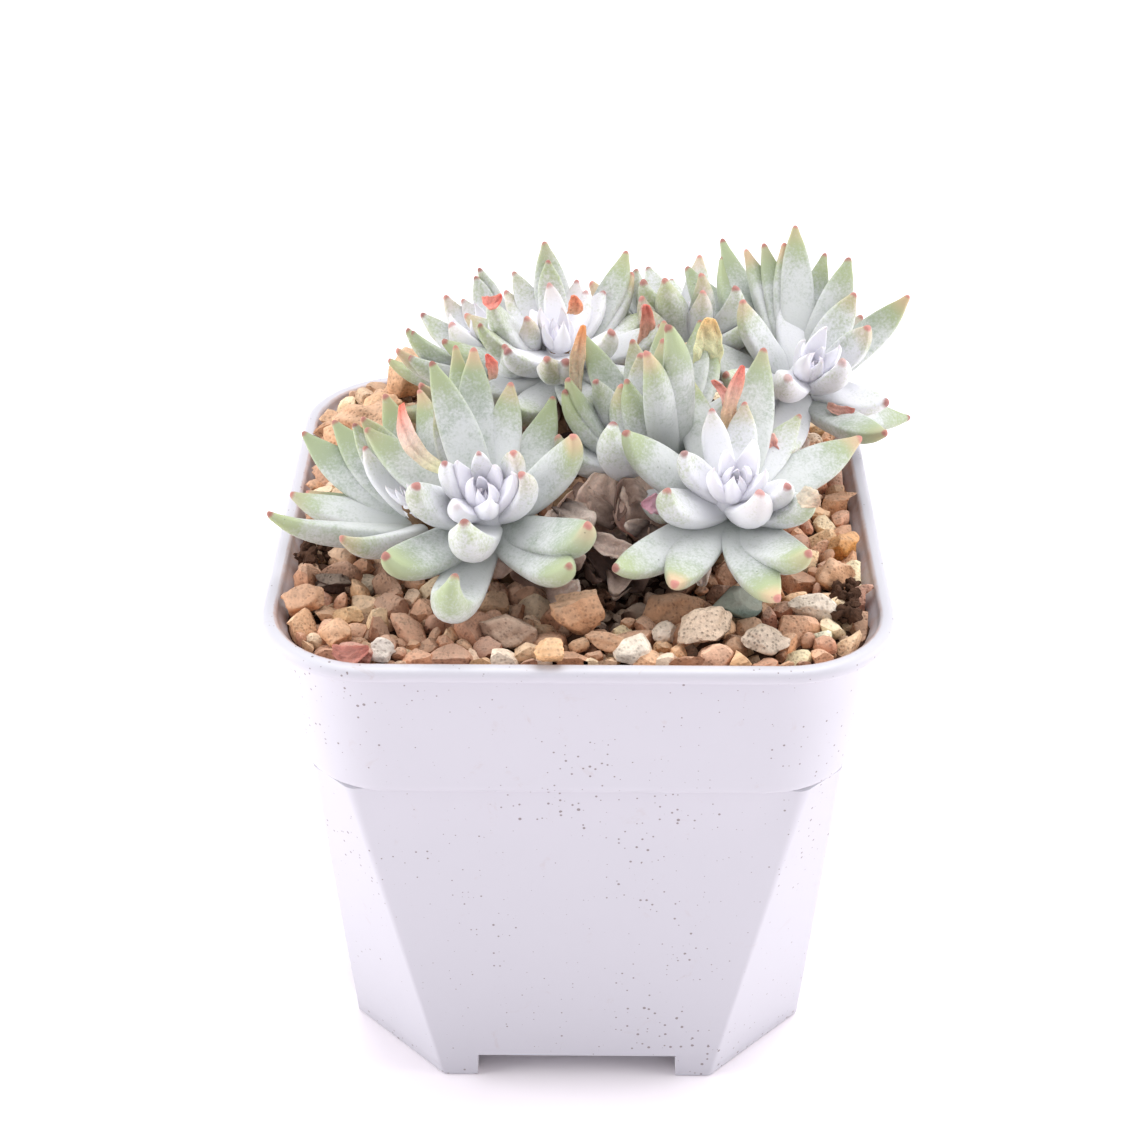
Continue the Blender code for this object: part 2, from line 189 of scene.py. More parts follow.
pot = {
    "height": 83, "rimHalf": 45, "rimRadius": 16.6, "lipHeight": 2.2, "mouthRadius": 14.4, "collarHeight": 24,
    "collarTopHalf": 42.6, "collarFootHalf": 40.45, "collarRadius": 15.2, "collarFootRadius": 13.4,
    "bodyTopHalf": 38.8, "bodyTopCut": 5.8, "bodyFootHalf": 35.8, "footCut": 14.8, "edgeRadius": 1.3,
    "floorRise": 5.2, "floorTop": 7.4, "wall": 1.7, "notchHalf": 15.5, "notchHeight": 4.5,
    "drainDiameter": 8, "drainSpacing": 17, "drainSides": 32, "arcSteps": 7, "sharpAngle": 38,
    # profiles, as steps out and up from the collar's foot and the lip, then depths and half-widths inside
    "collarFoot": ((-1.35, -0.1), (-0.9, -0.1), (-0.45, 0.05), (-0.17, 0.35), (-0.04, 0.75), (0, 1.25)),
    "lip": ((-2.35, -0.5), (-2.1, -0.12), (-1.5, 0.0), (-0.6, 0.08), (-0.2, 0.3), (0, 0.75), (0, 1.35),
            (-0.15, 1.8), (-0.5, 2.1), (-1.0, 2.2), (-1.7, 2.2), (-2.05, 2.1), (-2.28, 1.8), (-2.35, 1.2)),
    "inside": ((1.6, 42.3), (2.6, 41.6), (4, 41.1), (12, 40.4), (20, 39.4)),
}
roundShare = 2 - math.sqrt(2)  # a quarter circle's corner cut over its radius


def potRing(half, cut, radius, z):
    # a square whose corners are cut at 45 degrees, each cut's two ends rounded by an arc of this radius;
    # the flats also have points at the notch's edges, and there the foot rises to the notch's top
    flat = half - cut - radius * math.tan(math.pi / 8)
    edge, steps, gap = pot["notchHalf"], pot["arcSteps"], 0.1
    across = np.array([0, 0.35 * edge, 0.7 * edge, edge - gap, edge + gap])
    outer = np.linspace(across[-1], flat, 4)[1:-1]
    side = np.concatenate([-outer[::-1], -across[:0:-1], across, outer])
    angle = np.linspace(0, math.pi / 4, steps)
    first = np.stack([half - radius + radius * np.cos(angle), flat + radius * np.sin(angle)], 1)
    straight = np.stack([np.full(len(side), half), side], 1)
    quarter = np.concatenate([straight, first, first[::-1, ::-1]])
    inNotch = np.concatenate([np.abs(side) < edge, np.zeros(2 * steps, bool)])
    heights = np.where(inNotch, max(z, pot["notchHeight"]), z)
    turns = ((1, 0), (0, 1), (-1, 0), (0, -1))  # the cosine and sine of each quarter turn
    return np.concatenate([np.stack([quarter @ [c, -s], quarter @ [s, c], heights], 1) for c, s in turns])


def boreDrains(obj):
    # five round holes through the pot's floor, one in the middle and four about it, cut as cylinders
    disc, past = np.column_stack(circle(pot["drainSides"])) * pot["drainDiameter"] / 2, 2
    parts = []
    for x, y in ((0, 0), (1, 1), (1, -1), (-1, 1), (-1, -1)):
        plan = disc + np.array([x, y]) * pot["drainSpacing"]
        rings = np.stack([np.column_stack([plan, np.full(len(plan), z)])
                          for z in (pot["floorRise"] - past, pot["floorTop"] + past)])
        parts.append((*tube(rings, *rings.mean(1)), {}))
    points, faces, _ = joinParts(parts)
    cutter = putMesh("drain_cutter", points, faces, obj.data.materials[0])
    cut = obj.modifiers.new("drains", "BOOLEAN")
    cut.object, cut.operation, cut.solver = cutter, "DIFFERENCE", "EXACT"
    graph = bpy.context.evaluated_depsgraph_get()
    bored = bpy.data.meshes.new_from_object(obj.evaluated_get(graph))
    obj.modifiers.remove(cut)
    old, obj.data = obj.data, bored
    bpy.data.meshes.remove(old)
    bored.name = obj.name
    bpy.data.objects.remove(cutter)


def buildPot(material):
    # rings of the outline lofted from under the floor, out round the foot, up the body, collar and lip, and
    # down the inside to the floor's top
    p = pot
    top, foot, lip = p["height"], p["height"] - p["collarHeight"], p["height"] - p["lipHeight"]

    def body(z, inset=0):  # half-width, cut and edge radius on the straight-sided body at a height
        share = z / foot
        return (p["bodyFootHalf"] + (p["bodyTopHalf"] - p["bodyFootHalf"]) * share - inset,
                p["footCut"] + (p["bodyTopCut"] - p["footCut"]) * share - 0.4 * inset,
                p["edgeRadius"] * (0.8 + 1.4 * share**3), z)

    def curved(half, radius, z):
        return (half, radius * roundShare, radius, z)

    rows = [body(0.2, 2.2)[:3] + (p["floorRise"],)]
    rows += [body(*place) for place in ((0.2, 2.2), (0, 1.9), (0, 0.5), (0.12, 0.15), (0.45,), (p["notchHeight"],),
                                        (12,), (24,), (36,), (48,), (foot - 0.6,))]
    half, radius = p["collarFootHalf"], p["collarFootRadius"]
    rows += [curved(half + out, radius + out * 0.5, foot + up) for out, up in p["collarFoot"]]
    rows += [curved(half + (p["collarTopHalf"] - half) * share, radius + (p["collarRadius"] - radius) * share,
                    foot + (lip - foot) * share) for share in (0.33, 0.66, 0.93)]
    rows += [curved(p["rimHalf"] + out, p["rimRadius"] + out, lip + up) for out, up in p["lip"]]
    rows += [curved(across, p["mouthRadius"] - down * 0.08, top - down) for down, across in p["inside"]]
    rows += [body(z, p["wall"]) for z in (foot - 2, 30, p["floorTop"])]
    points = np.concatenate([potRing(*row) for row in rows])
    obj = putMesh("nursery_pot", points, cappedFaces(len(rows), len(points) // len(rows)), material)
    cleaned = bmesh.new()
    cleaned.from_mesh(obj.data)
    bmesh.ops.remove_doubles(cleaned, verts=cleaned.verts, dist=0.01 * mm)
    bmesh.ops.dissolve_degenerate(cleaned, edges=cleaned.edges, dist=0.005 * mm)
    cleaned.to_mesh(obj.data)
    cleaned.free()
    boreDrains(obj)
    obj.data.shade_smooth()
    obj.data.set_sharp_from_angle(angle=math.radians(p["sharpAngle"]))
    return declare(obj, "white_plastic", "pot")


def mouldedPolypropylene():
    # white polypropylene, injection moulded: a satin skin with a soft broad gloss, a little light passing
    # under the surface, and a used pot's dirt, as fine dark specks and faint brown smears
    material, add = newMaterial("mouldedPolypropylene", {
        "Roughness": 0.42, "IOR": 1.49, "Subsurface Weight": 0.08, "Subsurface Radius": (1.0, 0.9, 0.9),
        "Subsurface Scale": 1.5 * mm})
    place = add("TexCoord", out="Object")
    height = add("SeparateXYZ", place, out="Z")
    patches = add("TexNoise", Vector=place, Scale=perMm(14), Detail=2.0)
    ragged = add("TexNoise", Vector=place, Scale=perMm(0.5), Detail=2.0)
    smear = add("TexNoise", Vector=place, Scale=perMm(5), Detail=6.0, Roughness=0.7, Distortion=0.8)
    fromMiddle, cell = add("TexVoronoi", Vector=place, Scale=perMm(0.85), Randomness=1.0, out=("Distance", "Color"))
    # a speck is where its cell's radius beats the ragged distance from its middle. A third of the cells have
    # none, and patches of the wall and its lowest few millimetres have larger ones
    radius = add("MapRange", add("SeparateColor", cell), 0.3, 1.0, 0.0, 0.36)
    crowd = add("MAXIMUM", add("MapRange", patches, 0.46, 0.66, 0.4, 1.0),
                add("MapRange", height, 1 * mm, 6 * mm, 1.0, 0.0))
    ragged = add("ADD", fromMiddle, add("MULTIPLY", ragged, 0.07))
    inside = add("SUBTRACT", add("MULTIPLY", radius, crowd), ragged)
    speck = add("MapRange", inside, -0.03, 0.03, 0.0, 0.68)
    # brown stains, about twice as strong at the rim, where stones were tipped in
    stain = add("MULTIPLY", add("MapRange", smear, 0.62, 0.76, 0.0, 0.26),
                add("MapRange", height, 77 * mm, 81 * mm, 1.0, 2.2))
    # soil splashed up the inside: a brown film where the wall faces the pot's middle
    level = add("VectorMath", place, (1, 1, 0), operation="MULTIPLY")
    facing = add("VectorMath", add("NewGeometry", out="Normal"), level, operation="DOT_PRODUCT", out="Value")
    film = add("MULTIPLY", add("MapRange", facing, -8 * mm, -20 * mm, 0.0, 1.0),
               add("MapRange", smear, 0.38, 0.68, 0.12, 0.75))
    colour = painted(add, "#bfbec5", (stain, "#a98f84"), (film, "#b08c7a"), (speck, "#5d463e"))
    return surfaced(material, colour, add("TexNoise", Vector=place, Scale=perMm(0.9), Detail=3.0), 0.06, 0.1)


buildPot(mouldedPolypropylene())
print("pot done")


dressing = {
    "below": 1.2, "mound": 4.5, "bedBelow": 1.7, "bedHalf": 41.6, "bedRadius": 13.6, "seed": 5,
    "grains": 560, "smallest": 1.15, "largest": 3.7, "bigFrom": 2.5, "fillers": 1000, "fillerRadii": (0.8, 1.7),
    "paler": 0.08, "palerRight": 0.24,
    "colours": ["#cfa181", "#c39273", "#dab795", "#b58566", "#e2c7a6", "#a67a61", "#d5a983", "#c99a7a", "#bb8d70",
                "#e9d8bf", "#ab8068", "#d0a68c"],
    "shaded": ["#7d5e4b", "#6a4e3f", "#8d6a54", "#5b4338", "#9a7660"],
}
stones = {
    # node: slot, colour, how much of its shape is lumps
    "pumice_large": ("pumice", "#cdb6a0", 0.10),
    "pumice_small": ("pumice", "#d8c6b1", 0.10),
    "green_stone": ("zeolite", "#7f8f86", 0.05),
    "clay_chunk_front": ("akadama", "#cf9f7a", 0.08),
    "clay_chunk_left": ("akadama", "#d9a883", 0.12),
    "clay_chunk_back": ("akadama", "#dcae88", 0.12),
    "bark_chip": ("bark", "#4c3a33", 0.14),
}
looseStones = {
    # name: place across and along the mouth, three sizes (mm), turn, colour
    "tan_flat": ((13.3, -29.2), (9.5, 6.5, 6.0), 10, "#b98a68"),
    "grey_tan": ((-9.6, -34.6), (8.5, 6.0, 4.6), -15, "#a98c78"),
    "pale_left": ((-26.9, -39.0), (3.9, 3.4, 3.2), 0, "#e4dad0"),
    "pale_middle": ((7.4, -39.3), (5.6, 4.4, 4.8), 30, "#ecdfcf"),
    "pale_long": ((33.4, -27.5), (7.4, 4.4, 4.6), -28, "#f0e3d2"),
    "on_rim": ((-3.6, -42.3), (4.2, 4.0, 3.6), 0, "#dcae7e"),
    "pale_small": ((12.4, -34.4), (4.4, 3.4, 3.4), 50, "#dfd0bf"),
    "mound_one": ((-37.4, 18.5), (8.0, 6.0, 5.0), 40, "#deb08a"),
    "mound_two": ((-31.5, 22.5), (7.0, 6.0, 5.5), 15, "#d8a67c"),
    "mound_three": ((-27.5, 15.0), (6.5, 5.0, 4.5), 70, "#e2bd98"),
    "mound_four": ((-20.0, 33.0), (7.5, 6.0, 5.0), 20, "#dcb08c"),
    "right_orange": ((39.2, -10.4), (5.4, 4.4, 4.2), 65, "#cf9256"),
    "right_tan": ((37.0, -19.0), (6.2, 5.0, 4.4), 35, "#c99a76"),
    "left_block": ((-39.0, -27.0), (6.4, 5.2, 5.0), 5, "#c4926f"),
    "left_tan": ((-33.5, -36.0), (5.2, 4.6, 4.2), 60, "#cf9d78"),
    "front_pink": ((-31.0, -39.8), (5.8, 3.4, 2.6), -20, "#b3776a"),
    "front_flat": ((4.0, -36.0), (7.5, 3.6, 3.0), -22, "#c89a78"),
}


peatCrumbs = {
    # places across and along the mouth (mm), crumbs in each heap, how far they stray, and their radii
    "heaps": [(-39.8, -14.2), (-37.6, -12.6), (38.6, -24.6), (38.2, -29.5), (3.0, -25.5)], "each": 22, "seed": 19,
    "spread": (1.0, 1.7), "radii": (0.35, 1.05),
}


def mouthInset(x, y, half=42.2, radius=14.0):
    # how far a point is inside the rounded-square mouth (mm), negative outside
    qx, qy = np.abs(x) - (half - radius), np.abs(y) - (half - radius)
    outside = np.hypot(np.maximum(qx, 0), np.maximum(qy, 0)) + np.minimum(np.maximum(qx, qy), 0)
    return radius - outside


def plantShade(x, y):  # 1 in the gap between the two front rosettes and 0 away from it: exp(-distance squared)
    return np.exp(-(((x - 4.5) / 11) ** 2 + ((y + 19.5) / 9) ** 2))


def dressingHeight(x, y):
    # the dressing's top (mm): near the rim's level, a mound towards the back left corner, and a dip
    # under the plants where only dark soil and fallen leaves lie
    far = np.hypot(x / 42 + 0.62, y / 42 - 0.5)
    edge = np.clip(mouthInset(x, y) / 9, 0, 1)
    mound = dressing["mound"] * np.clip(1 - (far / 0.8) ** 2, 0, None) * (0.25 + 0.75 * edge)
    return pot["height"] - dressing["below"] + mound - 1.6 * plantShade(x, y)


def buildBed(material):
    # rings from the mouth's wall to the middle, each at the dressing's height less a little, with waves
    shares = np.concatenate([[0.955, 1.0], np.linspace(0.97, 0.02, 56)])
    rim = potRing(dressing["bedHalf"], dressing["bedRadius"] * roundShare, dressing["bedRadius"], 0)[:, :2]
    x, y = (shares[:, None] * rim[:, axis] for axis in range(2))
    waves = 0.35 * np.sin(1.9 * x + np.cos(1.3 * y) * 2) * np.cos(1.6 * y + 0.7 * np.sin(1.1 * x))
    z = dressingHeight(x, y) - dressing["bedBelow"] + waves
    z[0] = pot["height"] - 9  # the bed's underside
    z[1] = np.minimum(z[1], pot["height"] - 2.2)
    obj = putMesh("dressing_bed", np.stack([x, y, z], 2), cappedFaces(*x.shape), material)
    return declare(obj, "akadama", "gravel_bed")


def ballPoints(subdivisions):  # an icosphere's points and faces
    ball = bmesh.new()
    bmesh.ops.create_icosphere(ball, subdivisions=subdivisions, radius=1)
    points = np.array([v.co for v in ball.verts])
    faces = np.array([[v.index for v in f.verts] for f in ball.faces])
    ball.free()
    return points, faces


def brokenShapes(random, ball, count, cuts=11, rough=0.05):
    # each shape: a ball cut by planes close to its surface, so that it has flat facets with edges between,
    # then made uneven by three waves over its surface
    points = np.repeat(ball[None], count, 0)
    normals = unit(random.normal(size=(count, cuts, 3)))
    depth = random.uniform(0.55, 0.86, (count, cuts))
    for cut in range(cuts):
        over = np.einsum("nij,nj->ni", points, normals[:, cut]) - depth[:, cut, None]
        points = points - np.maximum(over, 0)[:, :, None] * normals[:, cut, None]
    for wave in (2.3, 4.7, 8.1):
        way = random.normal(size=(count, 1, 3)) * wave
        swell = np.sin((points * way).sum(2) + random.uniform(0, 6, (count, 1)))
        points = points * (1 + rough * 2.3 / wave * swell)[..., None]
    return points


def turnedStones(random, points, centres, radii):
    # each shape stretched to a random brick, turned by a random quaternion, mostly on its flat side, and placed
    count = len(points)
    stretch = np.stack([np.ones(count), random.uniform(0.7, 1.0, count), random.uniform(0.5, 0.9, count)], 1)
    w, x, y, z = unit(random.normal(size=(count, 4)) * [1, 0.5, 0.5, 1]).T
    turn = np.stack([1 - 2 * (y * y + z * z), 2 * (x * y - z * w), 2 * (x * z + y * w),
                     2 * (x * y + z * w), 1 - 2 * (x * x + z * z), 2 * (y * z - x * w),
                     2 * (x * z - y * w), 2 * (y * z + x * w), 1 - 2 * (x * x + y * y)], 1).reshape(-1, 3, 3)
    turned = np.einsum("nij,nkj->nki", turn, points * stretch[:, None])
    return turned * radii[:, None, None] * 1.25 + centres[:, None]


def packedPlaces(random, count, low, high, kept=()):
    # discs of mixed sizes inside the mouth, pushed apart until they hardly overlap, clear of the kept ones
    radii = low + (high - low) * random.beta(1.1, 2.4, count)
    place = random.uniform(-41, 41, (count * 3, 2))
    place = place[mouthInset(*place.T) > 1.5][:count]
    fixed = np.array([spot for spot, radius in kept]).reshape(-1, 2)
    place = np.concatenate([fixed, place])
    radii = np.concatenate([[radius for spot, radius in kept], radii[:len(place) - len(fixed)]])
    for step in range(70):
        gap = place[:, None] - place[None]
        distance = np.hypot(gap[..., 0], gap[..., 1]) + 1e-6
        push = np.clip((radii[:, None] + radii[None]) * 0.98 - distance, 0, None)
        np.fill_diagonal(push, 0)
        moved = place + (gap / distance[..., None] * push[..., None]).sum(1) * 0.32
        outside = np.clip(radii * 0.8 - mouthInset(*moved.T), 0, None)
        moved -= unit(moved) * outside[:, None]
        place = np.concatenate([fixed, moved[len(fixed):]])
    return place[len(fixed):], radii[len(fixed):]


def insideWall(points):
    # whatever of a stone would stand in the pot's wall below the rim is pushed back along its radius
    for step in range(2):
        over = np.clip(0.25 - mouthInset(points[..., 0], points[..., 1], 41.4, 13.4), 0, None)
        over = over * (points[..., 2] < pot["height"] + 0.1)
        points[..., :2] = points[..., :2] - unit(points[..., :2]) * over[..., None]
    return points


def grainTones(random, count, colours, spread=0.08):  # colours drawn from a list, each a little lighter or darker
    tones = np.array([linear(c)[:3] for c in colours])[random.integers(0, len(colours), count)]
    tones = tones * (1 + random.normal(0, spread, (count, 1))) * (1 + random.normal(0, spread / 3, (count, 3)))
    return np.concatenate([np.clip(tones, 0.01, 0.9), random.random((count, 1))], 1)


def palerToRight(tones, x):  # paler everywhere by one share, and more by up to a second share from the middle to the right wall
    share = dressing["paler"] + dressing["palerRight"] * np.clip(x / 40, 0, 1)
    return np.concatenate([np.clip(tones[:, :3] * (1 + share[:, None]), 0.01, 0.92), tones[:, 3:]], 1)


def crumblyStone(name, grainSize, poreSize, poreDepth):
    # baked clay, pumice, zeolite and bark: dull and dusty. Each stone has a tone of its own, mottled at the size of
    # its grain by the same noise that raises its bump and darker in its pores, as painted shade, with paler tops
    # that are dust and a painted highlight
    material, add = newMaterial(name, {"Roughness": 0.94, "Specular IOR Level": 0.22, "IOR": 1.45})
    place = add("TexCoord", out="Object")
    mottle = add("TexNoise", Vector=place, Scale=perMm(grainSize), Detail=6.0, Roughness=0.7)
    pores = add("TexVoronoi", Vector=place, Scale=perMm(poreSize), Randomness=1.0, out="Distance")
    pit = add("MapRange", pores, 0.05, 0.45, 1 - poreDepth, 1.0)
    # the colour follows the bump's mottle and pores: painted shade
    shade = add("MULTIPLY", add("MapRange", mottle, 0.3, 0.7, 0.66, 1.22), pit)
    tone = add("Attribute", attribute_name="grainTone", out="Color")
    coloured = add("VectorMath", tone, Scale=shade, operation="SCALE")
    # paler on what faces up: dust and a painted highlight
    dustAndTopLight = add("MapRange", add("SeparateXYZ", add("NewGeometry", out="Normal"), out="Z"), 0.2, 1.0, 0.0, 0.26)
    return surfaced(material, painted(add, coloured, (dustAndTopLight, "#e6d3bf")), add("ADD", mottle, pit), 0.85, 0.5)


def dullCrumbs(name, look, size, detail, grit, dark, pale, strength, depth):
    # a noise of one crumb size runs between a dark and a pale tone, and is the height of the bump
    material, add = newMaterial(name, look)
    noise = add("TexNoise", Vector=add("TexCoord", out="Object"), Scale=perMm(size), Detail=detail, Roughness=grit)
    return surfaced(material, painted(add, dark, (noise, pale)), noise, strength, depth)


def stonePiece(name, points, faces, tones, material, slotName="akadama", nodes=(), sharp=28):
    # points: one row of corners for each stone; the faces are the ball's, moved on for each stone
    count, corners = points.shape[:2]
    every = (faces[None] + (np.arange(count) * corners)[:, None, None]).reshape(-1, 3)
    obj = putMesh(name, insideWall(points), [every], material, {"grainTone": np.repeat(tones, corners, 0)})
    obj.data.set_sharp_from_angle(angle=math.radians(sharp))
    return declare(obj, slotName, *nodes)


def nodeBox(name):  # a CAD node's lowest and highest corners, in mm from the pot's middle
    return ((np.array(corner) - potMiddle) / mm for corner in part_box(name))


def buildNamedStones(materials):
    # a stone for each CAD stone, stretched to fill that node's box, then the loose ones, in one piece
    random = np.random.default_rng(41)
    ball, faces = ballPoints(5)
    for name, (kind, colour, lumps) in stones.items():
        low, high = nodeBox(name)
        points = brokenShapes(random, ball, 1, cuts=9, rough=lumps)[0]
        least, most = points.min(0), points.max(0)
        points = (points - (least + most) / 2) / (most - least) * (high - low) + (low + high) / 2
        tones = grainTones(random, 1, [colour], 0.02)
        stonePiece(f"{name}_rough", points[None], faces, tones, materials[kind], kind, [name], 50)
    ball, faces = ballPoints(4)
    parts, tones = [], []
    for place, size, turn, colour in looseStones.values():
        points = brokenShapes(random, ball, 1, cuts=10, rough=0.08)[0]
        points = points / (points.max(0) - points.min(0)) * size
        c, s, _ = heading(turn)
        onRim = mouthInset(*place) < 2
        rise = pot["height"] + size[2] * 0.42 if onRim else dressingHeight(*place) + size[2] * 0.22
        parts.append(points @ np.array([[c, s, 0], [-s, c, 0], [0, 0, 1]]) + [*place, rise])
        tones.append(grainTones(random, 1, [colour], 0.02)[0])
    stonePiece("loose_stones", np.array(parts), faces, np.array(tones), materials["akadama"], sharp=45)


def buildPeatCrumbs(soil):
    # potting peat that was spilt on the dressing: small heaps of dark crumbs beside the walls
    p = peatCrumbs
    random = np.random.default_rng(p["seed"])
    ball, faces = ballPoints(2)
    count = p["each"] * len(p["heaps"])
    spots = np.repeat(np.array(p["heaps"]), p["each"], 0) + random.normal(0, 1, (count, 2)) * p["spread"]
    radii = random.uniform(*p["radii"], count)
    heights = dressingHeight(*spots.T) + random.uniform(0.2, 2.2, count)
    shapes = brokenShapes(random, ball, count, rough=0.16)
    points = turnedStones(random, shapes, np.column_stack([spots, heights]), radii)
    stonePiece("peat_crumbs", points, faces, np.full((count, 4), 0.03), soil, "bark")


def buildDressing():
    # the bed, the listed stones, the grains packed between them, the fine ones beneath, and the peat
    d = dressing
    random = np.random.default_rng(d["seed"])
    materials = {"akadama": crumblyStone("bakedAkadamaClay", 1.5, 0.6, 0.35),
                 "pumice": crumblyStone("porousPumice", 1.1, 0.55, 0.6),
                 "zeolite": crumblyStone("brokenZeolite", 2.0, 0.9, 0.12),
                 "bark": crumblyStone("pineBarkChip", 1.0, 0.6, 0.5)}
    # peat and bark fines: near black, crumbly and without gloss
    soil = dullCrumbs("pottingSoil", {"Roughness": 0.97, "Specular IOR Level": 0.2}, 1.1, 6.0, 0.7,
                      "#1c1512", "#6b4b39", 0.9, 0.8)
    buildBed(soil)
    for slot in bpy.data.objects["potting_soil"].material_slots:
        slot.material = soil
    buildNamedStones(materials)
    kept = [(place, sum(size[:2]) / 4 * 0.9) for place, size, turn, colour in looseStones.values()]
    for name in stones:
        low, high = nodeBox(name)
        kept.append((tuple((low + high)[:2] / 2), (high - low)[:2].mean() / 2 * 0.9))
    place, radii = packedPlaces(random, d["grains"], d["smallest"], d["largest"], kept)
    shade = plantShade(*place.T)
    shown = random.random(len(place)) > shade * 1.1
    place, radii, shade = place[shown], radii[shown], shade[shown]
    top = dressingHeight(*place.T) - radii * 0.35 + random.uniform(-0.5, 0.6, len(place))
    # grains in the gap under the front plants take the darker shaded colours: painted shade
    tones = np.where((shade > 0.35)[:, None], grainTones(random, len(place), d["shaded"]),
                     palerToRight(grainTones(random, len(place), d["colours"]), place[:, 0]))
    centres = np.column_stack([place, top])
    big = radii >= d["bigFrom"]
    for name, chosen, fineness in (("large_grains", big, 3), ("small_grains", ~big, 2)):
        ball, faces = ballPoints(fineness)
        shapes = brokenShapes(random, ball, chosen.sum())
        points = turnedStones(random, shapes, centres[chosen], radii[chosen])
        stonePiece(name, points, faces, tones[chosen], materials["akadama"])
    spot, size = packedPlaces(random, d["fillers"], *d["fillerRadii"])
    under = dressingHeight(*spot.T) - 1.5 + random.uniform(-0.5, 0.4, len(spot))
    ball, faces = ballPoints(2)
    shapes = brokenShapes(random, ball, len(spot))
    points = turnedStones(random, shapes, np.column_stack([spot, under]), size)
    # the fine grains beneath the others are made darker: painted shade between the grains
    darker = grainTones(random, len(spot), d["colours"][1:8]) * [0.8, 0.78, 0.76, 1]
    # fine grains under the plants take the shaded colours, darker still: painted shade
    deep = (plantShade(*spot.T) > 0.3)[:, None]
    tones = np.where(deep, grainTones(random, len(spot), d["shaded"]) * 0.7, darker)
    stonePiece("fine_grains", points, faces, tones, materials["akadama"])
    buildPeatCrumbs(soil)


buildDressing()
print("dressing done")


leafShape = {
    "rows": 34, "columns": 22, "pathSteps": 60, "base": 0.80, "widest": 0.42, "stray": (-0.05, 0.07), "taper": 2.5,
    "blunt": 0.21, "bluntFrom": 0.95, "thinFrom": 0.21, "keel": 0.50, "keelYoung": 0.12, "top": 0.22, "cup": 0.075,
    "seat": 1, "longSeat": 4.0, "longReach": 1.6, "crownRadius": 1.0, "hook": 11, "hookPerCurl": 0.7,
    "hookSpread": (0.6, 1.25), "bendSpread": 4, "twistSpread": 7,
}
heartShape = {  # the youngest leaves: the same but for these
    **leafShape, "base": 0.95, "widest": 0.26, "stray": None, "taper": 1.5, "blunt": 0.08, "keel": 0.475,
    "keelYoung": 0, "cup": 0.0825, "seat": 0, "crownRadius": 0.6,
}


def leafWidth(s, shape, widest):
    # share of full width: a sine up from the base to the widest place, then 1 - x^taper down to the point,
    # joined by a fourth-power mean to a small half-ellipse that blunts it
    rise = shape["base"] + (1 - shape["base"]) * np.sin(np.pi / 2 * np.clip(s / widest, 0, 1))
    fall = 1 - np.clip((s - widest) / (1 - widest), 0, 1) ** shape["taper"]
    y = np.clip((s - shape["bluntFrom"]) / (1 - shape["bluntFrom"]), 0, 1)
    end = shape["blunt"] * np.sqrt(1 - y**2) * (s > 0.5)
    return rise * (fall**4 + end**4) ** 0.25


def leafPath(crown, axis, row, random, shape):
    # the centreline leaves the stem at the lean and bends back by the curl times s^1.2, and near the point a
    # little more. Gives its points, directions and the leaf's own sideways direction at even steps
    turn, lean, length, _, curl = row
    seated = shape["seat"] * min(max((length - 7) / 10, 0), 1)
    way = heading(turn)
    out = unit(way - axis * (way @ axis))
    side = np.cross(axis, out)
    fine = np.linspace(0, 1, shape["pathSteps"] + 1)
    bend, twist = random.normal(0, shape["bendSpread"]), random.normal(0, shape["twistSpread"])
    hook = (shape["hook"] + shape["hookPerCurl"] * abs(curl)) * random.uniform(*shape["hookSpread"])
    angle = np.radians(lean - curl * fine**1.2 - hook * np.clip((fine - 0.6) / 0.4, 0, 1) ** 1.5)
    along = np.cos(angle)[:, None] * axis + np.sin(angle)[:, None] * out
    along = unit(along + side * np.radians(bend * (2 * fine - 0.6))[:, None])
    steps = (along[1:] + along[:-1]) / 2 * length / shape["pathSteps"]
    reach = shape["longReach"] * seated + shape["crownRadius"]
    start = crown - axis * shape["longSeat"] * seated + out * reach
    return fine, np.concatenate([[np.zeros(3)], np.cumsum(steps, 0)]) + start, along, side, twist


